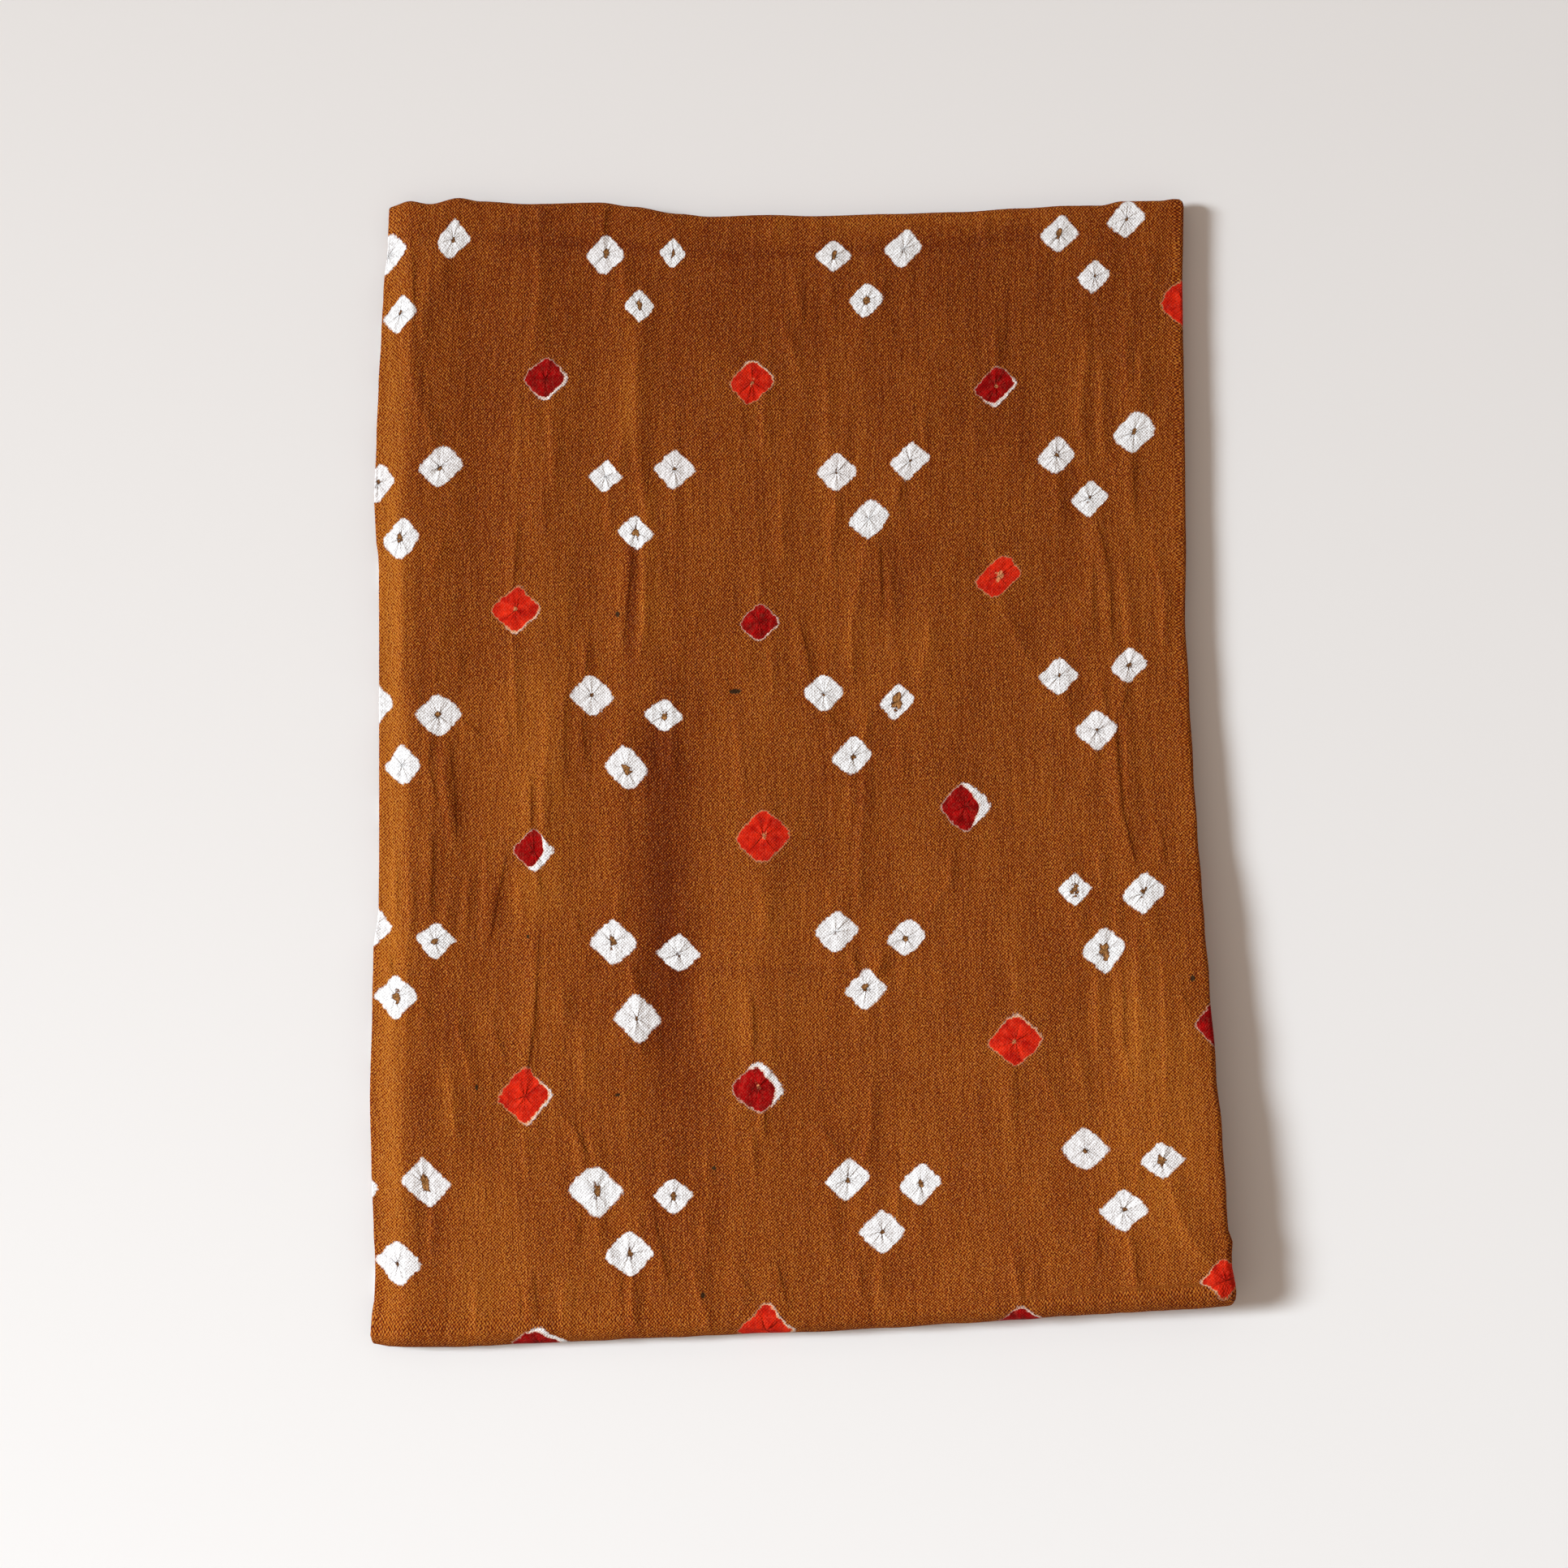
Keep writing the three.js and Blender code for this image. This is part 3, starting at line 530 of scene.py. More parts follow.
class Cloth:
    """The cloth's middle surface: a grid of stops across its width by stops along its length."""

    def __init__(self):
        across = letter_fold(lines_between(HALF_WIDTH, MARGIN_ACROSS, FINE_ACROSS),
                             lines_between(HALF_WIDTH, MARGIN_ACROSS, COARSE_ACROSS),
                             HALF_WIDTH, LAYER_PITCH, LAYER_BODY, 1)
        along = letter_fold(lines_between(HALF_LENGTH, MARGIN_ALONG, FINE_ALONG) + CREASE_LINES,
                            lines_between(HALF_LENGTH, MARGIN_ALONG, COARSE_ALONG),
                            HALF_LENGTH, STRIP_PITCH, STRIP_BODY, -1)
        self.across = Stop(*(column[:, None] for column in across))
        self.along = Stop(*(column[None, :] for column in along))
        self.top_layer = self.top_share(self.across.run) * self.top_share(self.along.run)
        self.lay()
        self.measure()

    @staticmethod
    def top_share(run):
        """1 on the top run of a fold, less round its turns and 0 on the other runs."""
        return 1 - ease(0, TOP_FADE, np.abs(run - TOP_RUN))

    def lay(self):
        rough_x = rough_place(self.across, HALF_WIDTH, (SELVEDGE_SHORT, INNER_SELVEDGE_SHORT))
        rough_y = rough_place(self.along, HALF_LENGTH, (INNER_HEM_SHORT, INNER_HEM_SHORT))
        rough_x, rough_y = np.broadcast_arrays(rough_x, rough_y)
        open_x, open_y = to_outline(rough_x, rough_y)
        loose = (top_height(open_x, open_y) - CLOTH_THICK) / BUNDLE_SPAN
        lower = np.floor(self.along.run).astype(int)
        upper = np.ceil(self.along.run).astype(int)
        share = ease(0, 1, self.along.run - lower)
        tucks = np.array(STRIP_TUCK)
        tuck = tucks[lower] + (tucks[upper] - tucks[lower]) * share[..., None]
        tuck = np.where(self.across.side < 0, tuck[..., 0], tuck[..., 1])
        wander = SIDE_WANDER * np.sin(rough_y / SIDE_WANDER_LENGTH + SIDE_WANDER_PHASE * self.along.run)
        wander = wander * (1 - self.top_share(self.along.run))
        in_strip, strip_height = place_stops(self.across, 0, HALF_WIDTH - tuck - wander, loose,
                                             (SELVEDGE_SHORT, INNER_SELVEDGE_SHORT))
        hem = read_table(LOWER_HEM, "x", in_strip, "short")
        in_bundle, height = place_stops(self.along, strip_height - STRIP_SPAN / 2, HALF_LENGTH, loose,
                                        (hem, INNER_HEM_SHORT))
        self.x, self.y = to_outline(in_strip, in_bundle)
        height = height + STRIP_SPAN / 2
        self.z = CLOTH_THICK / 2 + height * loose
        phase = self.across.run * LAYER_PHASE + self.along.run * STRIP_PHASE
        free = ease(*RIPPLE_HEIGHTS, height) * ease(*RIPPLE_ROOM, loose)
        self.z = self.z + RIPPLE_RISE * free * layer_ripple(self.x, self.y, phase)
        self.gap = LAYER_PITCH * loose - CLOTH_THICK

    def measure(self):
        """The flat cloth's own coordinates: millimetres along the weft and along the warp."""
        places = np.stack([self.x, self.y, self.z], axis=-1)
        weft_steps = np.linalg.norm(np.diff(places, axis=0), axis=-1).mean(axis=1)
        warp_steps = np.linalg.norm(np.diff(places, axis=1), axis=-1).mean(axis=0)
        self.weft_place = np.concatenate([[0.0], np.cumsum(weft_steps)])
        self.warp_place = np.concatenate([[0.0], np.cumsum(warp_steps)])

    def raise_top(self, rise):
        """Lifts the top layer, and only that, by rise, and lowers it by less than the gap under it."""
        deepest = -np.clip(GAP_SHARE * self.gap, 0, DEEPEST_CREASE)
        self.z = self.z + self.top_layer * np.maximum(rise, deepest)

    def flat_place(self, x, y):
        """The flat cloth's coordinates at a place on top of the bundle."""
        rows = np.flatnonzero(np.abs(self.across.run[:, 0] - TOP_RUN) < NEAR_TOP)
        columns = np.flatnonzero(np.abs(self.along.run[0] - TOP_RUN) < NEAR_TOP)
        grid_x = self.x[np.ix_(rows, columns)]
        grid_y = self.y[np.ix_(rows, columns)]
        row, column = np.unravel_index(np.argmin((grid_x - x) ** 2 + (grid_y - y) ** 2), grid_x.shape)
        weft = self.weft_place[rows[row]] - (x - grid_x[row, column])
        warp = self.warp_place[columns[column]] + (y - grid_y[row, column])
        return weft, warp


# The depth of the brown dye, from 0, dark, to 1, light, and soft patches where it is lighter, above zero,
# or darker. The patches are partly dye that took unevenly and partly painted shade and painted highlight:
# darker lines along creases and in hollows, lighter lines along the lit side of crests, and a broad
# darker band of painted shade near the top edge.
EVEN_DYE = 0.44
DYE_AND_SHADE_PATCHES = [Swell(*row) for row in (
    (812, 850, 826, 1330, 34, -0.32), (860, 1300, 800, 1580, 36, -0.10),
    (590, 320, 590, 760, 36, -0.10), (532, 1440, 534, 1560, 22, -0.14),
    (480, 300, 478, 1600, 22, 0.36), (672, 760, 672, 1250, 40, 0.08),
    (915, 1080, 915, 1360, 34, 0.06), (1425, 1210, 1440, 1590, 60, 0.22),
    (1375, 1200, 1395, 1320, 34, 0.08), (960, 262, 960, 306, 14, 0.10),
    (981, 262, 981, 300, 6, -0.14), (1020, 690, 1240, 720, 90, -0.04),
    (500, 340, 1440, 330, 150, -0.11), (1240, 430, 1310, 640, 80, -0.05),
    (476, 283, 900, 314, 7, -0.12), (900, 314, 1150, 303, 7, -0.12),
    (1150, 303, 1340, 277, 7, -0.10), (779, 655, 776, 825, 8, -0.28),
    (774, 385, 777, 575, 10, 0.16), (799, 595, 802, 800, 8, 0.16),
    (625, 830, 625, 980, 50, 0.08), (655, 1075, 665, 1135, 40, 0.10),
    (955, 1095, 955, 1155, 24, 0.10), (900, 1185, 900, 1305, 32, 0.06),
    (1390, 1295, 1390, 1328, 12, 0.12), (1330, 1300, 1330, 1332, 12, 0.10),
    (725, 1265, 725, 1355, 14, 0.12), (555, 1315, 555, 1405, 14, 0.12),
    (700, 1575, 700, 1638, 16, 0.16), (590, 1585, 590, 1648, 16, 0.12),
    (975, 785, 1165, 785, 36, 0.08), (515, 1325, 515, 1425, 18, -0.14),
    (710, 875, 710, 965, 14, -0.10), (608, 1085, 608, 1155, 12, -0.14),
    (560, 980, 560, 1028, 12, -0.12), (600, 1450, 590, 1670, 90, 0.13),
    (1420, 620, 1425, 800, 50, 0.08), (960, 268, 1300, 262, 20, 0.20),
    (870, 430, 880, 640, 60, -0.06), (844, 1196, 1040, 1194, 4, -0.14),
)]

Knot = namedtuple("Knot", "weft warp right_x right_y top_x top_y dye mark tint pale_x pale_y square seed")


def knot_chart(cloth):
    """Every tied spot of the cloth: those that show on top, and the plain repeat beyond them."""
    rng = random.Random(KNOT_DRAWS)
    knots = []

    def tie(weft, warp, spot, dye, mark=0.0, pale=0.0, bare=0.0):
        sizes = (spot.wide, spot.tall, spot.lean * ROUND_LEAN)
        wide, tall, lean = (size * MM_PER_PIXEL / 2 for size in sizes)
        angle = math.radians(pale)
        tint = rng.random() ** 2
        knots.append(Knot(weft, warp, wide, lean, lean, tall, dye, mark / spot.wide, tint,
                          bare * math.cos(angle), bare * math.sin(angle),
                          rng.uniform(*SQUARENESS), rng.uniform(*SEEDS)))

    for spot in WHITES:
        tie(*cloth.flat_place(*from_photo(spot.px, spot.py)), spot, 0.0, spot.mark)
    for spot in REDS:
        place = cloth.flat_place(*from_photo(spot.px, spot.py))
        tie(*place, spot, spot.dye, spot.mark, spot.pale, spot.bare)

    middle_weft, middle_warp = cloth.flat_place(0, 0)
    spread, upper, lower = (part * MM_PER_PIXEL for part in THREE_SPREAD)

    def tie_beyond(x, y, dye):
        x += rng.uniform(-HAND_WANDER, HAND_WANDER)
        y += rng.uniform(-HAND_WANDER, HAND_WANDER)
        left, right = (read_table(SIDES, "y", y, name) for name in ("left", "right"))
        bottom, top = (read_table(ENDS, "x", x, name) for name in ("bottom", "top"))
        weft, warp = middle_weft - x, middle_warp + y
        on_weft = -EDGE_REACH < weft < cloth.weft_place[-1] + EDGE_REACH
        on_warp = -EDGE_REACH < warp < cloth.warp_place[-1] + EDGE_REACH
        on_top = left - SPOT_REACH < x < right + SPOT_REACH and bottom - SPOT_REACH < y < top + SPOT_REACH
        if on_weft and on_warp and not on_top:
            size = rng.uniform(*PLAIN_WHITE) if dye == 0.0 else rng.uniform(*PLAIN_RED)
            spot = White(0, 0, size, size * rng.uniform(*PLAIN_HEIGHT), rng.uniform(*PLAIN_LEAN), 0)
            mark, pale, bare = (rng.uniform(*ends) for ends in (PLAIN_MARK, PLAIN_PALE, PLAIN_BARE))
            tie(weft, warp, spot, dye, mark, pale, bare ** 2)

    first_x, first_y = from_photo(*FIRST_THREE)
    red_x, red_y = from_photo(*FIRST_RED)
    for column in REPEATS:
        for row in REPEATS:
            x, y = column * REPEAT_ACROSS, -row * REPEAT_ALONG
            for dx, dy in ((-spread, upper), (spread, upper), (0, -lower)):
                tie_beyond(first_x + x + dx, first_y + y + dy, 0.0)
            tie_beyond(red_x + x, red_y + y, CRIMSON if (row + column) % 2 == 0 else ORANGE)
    return knots


# The pleats that a knot leaves round it: most along the warp, and some between it and its neighbours.
Pleat = namedtuple("Pleat", "direction length")
PLEATS = [
    Pleat(90, 13), Pleat(84, 8), Pleat(-90, 13), Pleat(-98, 8),
    Pleat(-45, 7), Pleat(-135, 7), Pleat(130, 6),
]

# Where a pleat starts, how far chance turns and shifts it, and the ranges of the share of its length, of
# its width and of the share of its rise, which is one of three.
PLEAT_START = 6
PLEAT_TURN = 12
PLEAT_SHIFT = 3
PLEAT_LENGTHS = (0.7, 1.3)
PLEAT_WIDTHS = (1.9, 2.8)
PLEAT_RISES = (0.35, 0.25, -0.3)
PLEAT_SHARES = (0.5, 1.2)

# Only a pleat that runs along the warp, by at least this much of its direction, is shifted.
MOSTLY_ALONG = 0.8

# The low mound under a knot, and how far its pucker reaches along the weft and the warp.
MOUND_RISE, MOUND_WIDTH = 0.3, 5.5
PUCKER_WEFT, PUCKER_WARP = 30, 50


def pucker(cloth, knots):
    """Presses the creases into the top layer and lifts it a little at each knot."""
    rise = np.zeros_like(cloth.z)
    for crease in CREASES:
        rise += crease_height(crease, cloth.x, cloth.y)
    rng = random.Random(PLEAT_DRAWS)
    weft, warp = np.meshgrid(cloth.weft_place, cloth.warp_place, indexing="ij")
    for knot in knots:
        dx, dy = knot.weft - weft, warp - knot.warp
        near = (np.abs(dx) < PUCKER_WEFT) & (np.abs(dy) < PUCKER_WARP)
        if not near.any():
            continue
        dx, dy = dx[near], dy[near]
        bump = MOUND_RISE * np.exp(-(dx ** 2 + dy ** 2) / MOUND_WIDTH ** 2)
        for direction, length in PLEATS:
            angle = math.radians(direction + rng.uniform(-PLEAT_TURN, PLEAT_TURN))
            length *= rng.uniform(*PLEAT_LENGTHS)
            up = rng.choice(PLEAT_RISES) * rng.uniform(*PLEAT_SHARES)
            out_x, out_y = math.cos(angle), math.sin(angle)
            along = dx * out_x + dy * out_y
            along_warp = abs(out_y) > MOSTLY_ALONG
            across = dx * out_y - dy * out_x + rng.uniform(-PLEAT_SHIFT, PLEAT_SHIFT) * along_warp
            width = rng.uniform(*PLEAT_WIDTHS)
            line = np.exp(-(across / width) ** 2 - ((along - PLEAT_START - length * 0.5) / length) ** 4)
            bump = bump + up * line
        rise[near] += bump
    cloth.raise_top(rise)


def nearest_knots(weft, warp, knots):
    """For each face of the grid, the number of the knot nearest to its middle."""
    best = np.zeros(weft.shape, int)
    closest = np.full(weft.shape, np.inf)
    for number, knot in enumerate(knots):
        distance = (weft - knot.weft) ** 2 + (warp - knot.warp) ** 2
        nearer = distance < closest
        best[nearer] = number
        closest[nearer] = distance[nearer]
    return best


def crease_sets(x, y, on_top):
    """For each face corner and set: the place along and across the set's crease there, and its rise."""
    sets = [np.zeros(x.shape + (3,)) for _ in range(LINE_SETS)]
    taken = np.zeros((LINE_SETS, len(x)), bool)
    for crease in sorted(CREASES, key=lambda crease: -crease.rise):
        along, across = crease_place(crease, x, y)
        beside = (across.max(axis=1) > LINE_BEFORE) & (across.min(axis=1) < LINE_BEYOND)
        between = (along.max(axis=1) > -LINE_END) & (along.min(axis=1) < LINE_END)
        faces = np.flatnonzero(beside & between & on_top)
        number = int(np.argmin(taken[:, faces].sum(axis=1)))
        faces = faces[~taken[number, faces]]
        taken[number, faces] = True
        rise = np.full(across[faces].shape, crease.rise * LINE_SHARE)
        sets[number][faces] = np.stack([along[faces], across[faces], rise], axis=-1)
    return sets


def cloth_mesh(cloth, knots):
    rows, columns = cloth.x.shape
    number = np.arange(rows * columns).reshape(rows, columns)
    corners = np.stack([number[:-1, :-1], number[:-1, 1:], number[1:, 1:], number[1:, :-1]], axis=-1)
    corners = corners.reshape(-1, 4)
    points = np.stack([cloth.x, cloth.y, cloth.z], axis=-1).reshape(-1, 3) * MM
    mesh = bpy.data.meshes.new("bandhani_cloth")
    mesh.from_pydata(points.tolist(), [], corners.tolist())
    mesh.polygons.foreach_set("use_smooth", np.ones(len(corners), bool))

    weft, warp = (part.ravel() for part in np.meshgrid(cloth.weft_place, cloth.warp_place, indexing="ij"))
    corner_weft, corner_warp = weft[corners], warp[corners]
    nearest = nearest_knots(corner_weft.mean(axis=1), corner_warp.mean(axis=1), knots)
    chart = Knot(*(np.array(column, float)[nearest][:, None] for column in zip(*knots)))
    whole = np.ones_like(corner_weft)
    dx, dy = chart.weft - corner_weft, corner_warp - chart.warp
    area = chart.right_x * chart.top_y - chart.right_y * chart.top_x
    to_right = (dx * chart.top_y - dy * chart.top_x) / area
    to_top = (dy * chart.right_x - dx * chart.right_y) / area
    layers = {
        "thread_place": (corner_weft, corner_warp, 0 * whole),
        "knot_place": (to_right, to_top, chart.seed * whole),
        "knot_look": (chart.dye * whole, chart.mark * whole, chart.tint * whole),
        "knot_pale": (chart.pale_x * whole, chart.pale_y * whole, chart.square * whole),
    }
    # The patches' painted shade and painted highlight go into the dye depth of the top layer.
    dye = EVEN_DYE + sum(swell_height(patch, cloth.x, cloth.y) for patch in DYE_AND_SHADE_PATCHES) * cloth.top_layer
    depth = mesh.attributes.new("dye_and_shade_depth", "FLOAT", "POINT")
    depth.data.foreach_set("value", dye.ravel())
    layers = {name: np.stack(parts, axis=-1) for name, parts in layers.items()}
    corner_x, corner_y = cloth.x.ravel()[corners], cloth.y.ravel()[corners]
    on_top = cloth.top_layer.ravel()[corners].min(axis=1) > ON_TOP_SHARE
    for number, places in enumerate(crease_sets(corner_x, corner_y, on_top)):
        layers[f"crease_{number}"] = places
    for name, places in layers.items():
        layer = mesh.attributes.new(name, "FLOAT_VECTOR", "CORNER")
        layer.data.foreach_set("vector", places.ravel())
    mesh.validate()
    mesh.update()
    return mesh


def link_object(name, mesh, material):
    piece = bpy.data.objects.new(name, mesh)
    mesh.materials.append(material)
    bpy.context.scene.collection.objects.link(piece)
    return piece


def linear(hex_colour):
    """An sRGB hex colour as linear red, green, blue and alpha."""
    parts = [int(hex_colour[i:i + 2], 16) / 255 for i in (1, 3, 5)]
    return tuple(p / 12.92 if p <= 0.04045 else ((p + 0.055) / 1.055) ** 2.4 for p in parts) + (1.0,)


def add(tree, kind, inputs=None, out=0, **settings):
    """Adds a node with its settings, values and links, and gives one of its outputs, or a slice."""
    node = tree.nodes.new(kind)
    for name, value in settings.items():
        setattr(node, name, value)
    for name, value in (inputs or {}).items():
        if isinstance(value, bpy.types.NodeSocket):
            tree.links.new(value, node.inputs[name])
        else:
            node.inputs[name].default_value = value
    return node.outputs[out] if node.outputs else None


MATH = "ShaderNodeMath"
VECTOR = "ShaderNodeVectorMath"
RANGE = "ShaderNodeMapRange"
NOISE = "ShaderNodeTexNoise"
COMBINE = "ShaderNodeCombineXYZ"
SEPARATE = "ShaderNodeSeparateXYZ"
MIX = "ShaderNodeMix"
XYZ = slice(0, 3)

# A Mix node's inputs by number, and the output and the setting with which it mixes colours.
MIX_FACTOR, MIX_A, MIX_B = 0, 6, 7
MIX_COLOURS = {"out": 2, "data_type": "RGBA"}

# Coarse handloom thread is about 0.4 mm, which makes ribs about 0.8 mm apart. Those are too fine to show
# in a picture of the whole cloth, so the ribs are drawn coarser. The floats of thread between crossings
# are about their real size.
RIB_PITCH = 1.1
FLOAT_WIDE, FLOAT_LONG = 0.42, 0.7

# How far threads wander from side to side, along the weft and the warp.
THREAD_WANDER = (0.8, 0.6, 0.0)

# The unevenness of thread, dye and cloth, by the size of its grains along the weft and the warp, in
# millimetres. Detail adds finer grains, and shift only tells one from another.
Grain = namedtuple("Grain", "name weft warp detail shift")
GRAINS = [
    Grain("wander", 3.0, 3.0, 1.0, 7.0),
    Grain("long_slubs", 1.5, 60.0, 2.0, 0.0),
    Grain("short_slubs", 0.75, 7.0, 2.0, 3.0),
    Grain("weft_slubs", 22.0, 1.1, 1.0, 5.0),
    Grain("lint", 0.7, 1.1, 1.0, 11.0),
    Grain("clouds", 26.0, 60.0, 3.0, 17.0),
    Grain("patches", 7.0, 22.0, 2.0, 23.0),
    Grain("fray_up", 0.7, 3.0, 1.0, 31.0),
    Grain("fray_side", 3.0, 0.7, 1.0, 37.0),
    Grain("crinkles", 3.2, 26.0, 2.0, 41.0),
    Grain("crimp", 1.3, 7.0, 2.0, 43.0),
]
GRAIN_ROUGHNESS = 0.55

# The share of each unevenness in the brown dye's depth, in a knot's edge, in the speck at its middle, in
# a fleck's edge and, in millimetres, in the relief.
DYE_SHARES = {
    "long_slubs": 0.32, "short_slubs": 0.26, "weft_slubs": 0.13, "lint": 0.1,
    "floats": 0.52, "floats_beside": -0.52, "clouds": 0.3, "patches": 0.3,
}
EDGE_SHARES = {"lumps": 0.44, "fray_up": 0.18, "fray_side": 0.17}
SPECK_SHARES = {"specks": 0.8}
FLECK_SHARES = {"lint": 0.8}
RELIEF_SHARES = {"crinkles": 0.5, "crimp": 0.16, "lint": 0.08, "long_slubs": 0.05}

# The colours of the brown dye, of undyed cotton, dull and bright float by float partly by its own
# unevenness and partly as painted shade and painted highlight, and of its rim in a red knot, of the two
# reds, of the specks at the knots' peaks, which are pale in a red knot, and of the husks, with the
# painted highlight on the thread's pale fuzz and the painted shade of its deep floats and of the gaps
# between threads.
DYE_DARK, DYE_MIDDLE, DYE_LIGHT = "#501703", "#8E3A0B", "#BF7625"
COTTON_SHADED_DULL, COTTON_LIT_BRIGHT, COTTON_BLUSH = "#E4E1DE", "#FFFFFE", "#D2B3A8"
RIM_CREAM = "#E89E60"
CRIMSON_DARK, CRIMSON_LIGHT = "#740103", "#B00408"
ORANGE_DARK, ORANGE_LIGHT = "#B00E05", "#E62C10"
SPECK_DARK, SPECK_LIGHT, SPECK_PALE = "#54290F", "#B07A45", "#DC8C5C"
HUSK_BROWN = "#33200F"
FUZZ_HIGHLIGHT_TAN = "#D2B48C"
DEEP_SHADE_BROWN = "#3A1A08"
GAP_SHADE_BROWN = "#3A2012"

# The share of the weave in the dye's depth, and of the weave and of a knot's pleats in the relief.
WEAVE_DYE, WEAVE_RELIEF, PLEAT_RELIEF = 0.62, 0.08, 1.5


def blend_noises(tree, value, noises, shares):
    """Adds each noise's swing about its middle, times its share, to a value."""
    for name, share in shares.items():
        centred = add(tree, MATH, {0: noises[name], 1: 0.5}, operation="SUBTRACT")
        value = add(tree, MATH, {0: centred, 1: share, 2: value}, operation="MULTIPLY_ADD")
    return value


def point_distance(tree, place, squareness):
    """How far a place is from the middle of a square that stands on its point, and has its corners
    at 1. They are the rounder the lower squareness is."""
    turned = add(tree, "ShaderNodeVectorRotate", {"Vector": place, "Angle": math.pi / 4},
                 rotation_type="Z_AXIS")
    size = add(tree, VECTOR, {0: turned}, operation="ABSOLUTE")
    parts = add(tree, SEPARATE, {0: size}, out=XYZ)
    powers = [add(tree, MATH, {0: part, 1: squareness}, operation="POWER") for part in parts[:2]]
    total = add(tree, MATH, {0: powers[0], 1: powers[1]}, operation="ADD")
    inverse = add(tree, MATH, {0: 1.0, 1: squareness}, operation="DIVIDE")
    distance = add(tree, MATH, {0: total, 1: inverse}, operation="POWER")
    to_corner = add(tree, MATH, {0: 0.5, 1: inverse}, operation="SUBTRACT")
    to_corner = add(tree, MATH, {0: 2.0, 1: to_corner}, operation="POWER")
    return add(tree, MATH, {0: distance, 1: to_corner}, operation="MULTIPLY")


def sharp_line(tree, number):
    """The height of a set's crease line: a step whose top sinks away, and that fades at both ends."""
    place = add(tree, "ShaderNodeAttribute", out=1, attribute_name=f"crease_{number}")
    along, across, rise = add(tree, SEPARATE, {0: place}, out=XYZ)
    step = add(tree, MATH, {0: across, 1: STEP_STEEPNESS / LINE_WIDTH}, operation="MULTIPLY")
    step = add(tree, MATH, {0: step}, operation="TANH")
    step = add(tree, MATH, {0: step, 1: 0.5, 2: 0.5}, operation="MULTIPLY_ADD")
    beyond = add(tree, MATH, {0: across, 1: 0.0}, operation="MAXIMUM")
    beyond = add(tree, MATH, {0: beyond, 1: 1 / LINE_REACH}, operation="MULTIPLY")
    beyond = add(tree, MATH, {0: beyond, 1: 2.0}, operation="POWER")
    fading = add(tree, MATH, {0: along}, operation="ABSOLUTE")
    fading = add(tree, MATH, {0: fading, 1: 4.0}, operation="POWER")
    fading = add(tree, MATH, {0: fading, 1: beyond}, operation="ADD")
    fading = add(tree, MATH, {0: fading, 1: -1.0}, operation="MULTIPLY")
    fading = add(tree, MATH, {0: fading}, operation="EXPONENT")
    height = add(tree, MATH, {0: step, 1: fading}, operation="MULTIPLY")
    return add(tree, MATH, {0: height, 1: rise}, operation="MULTIPLY")


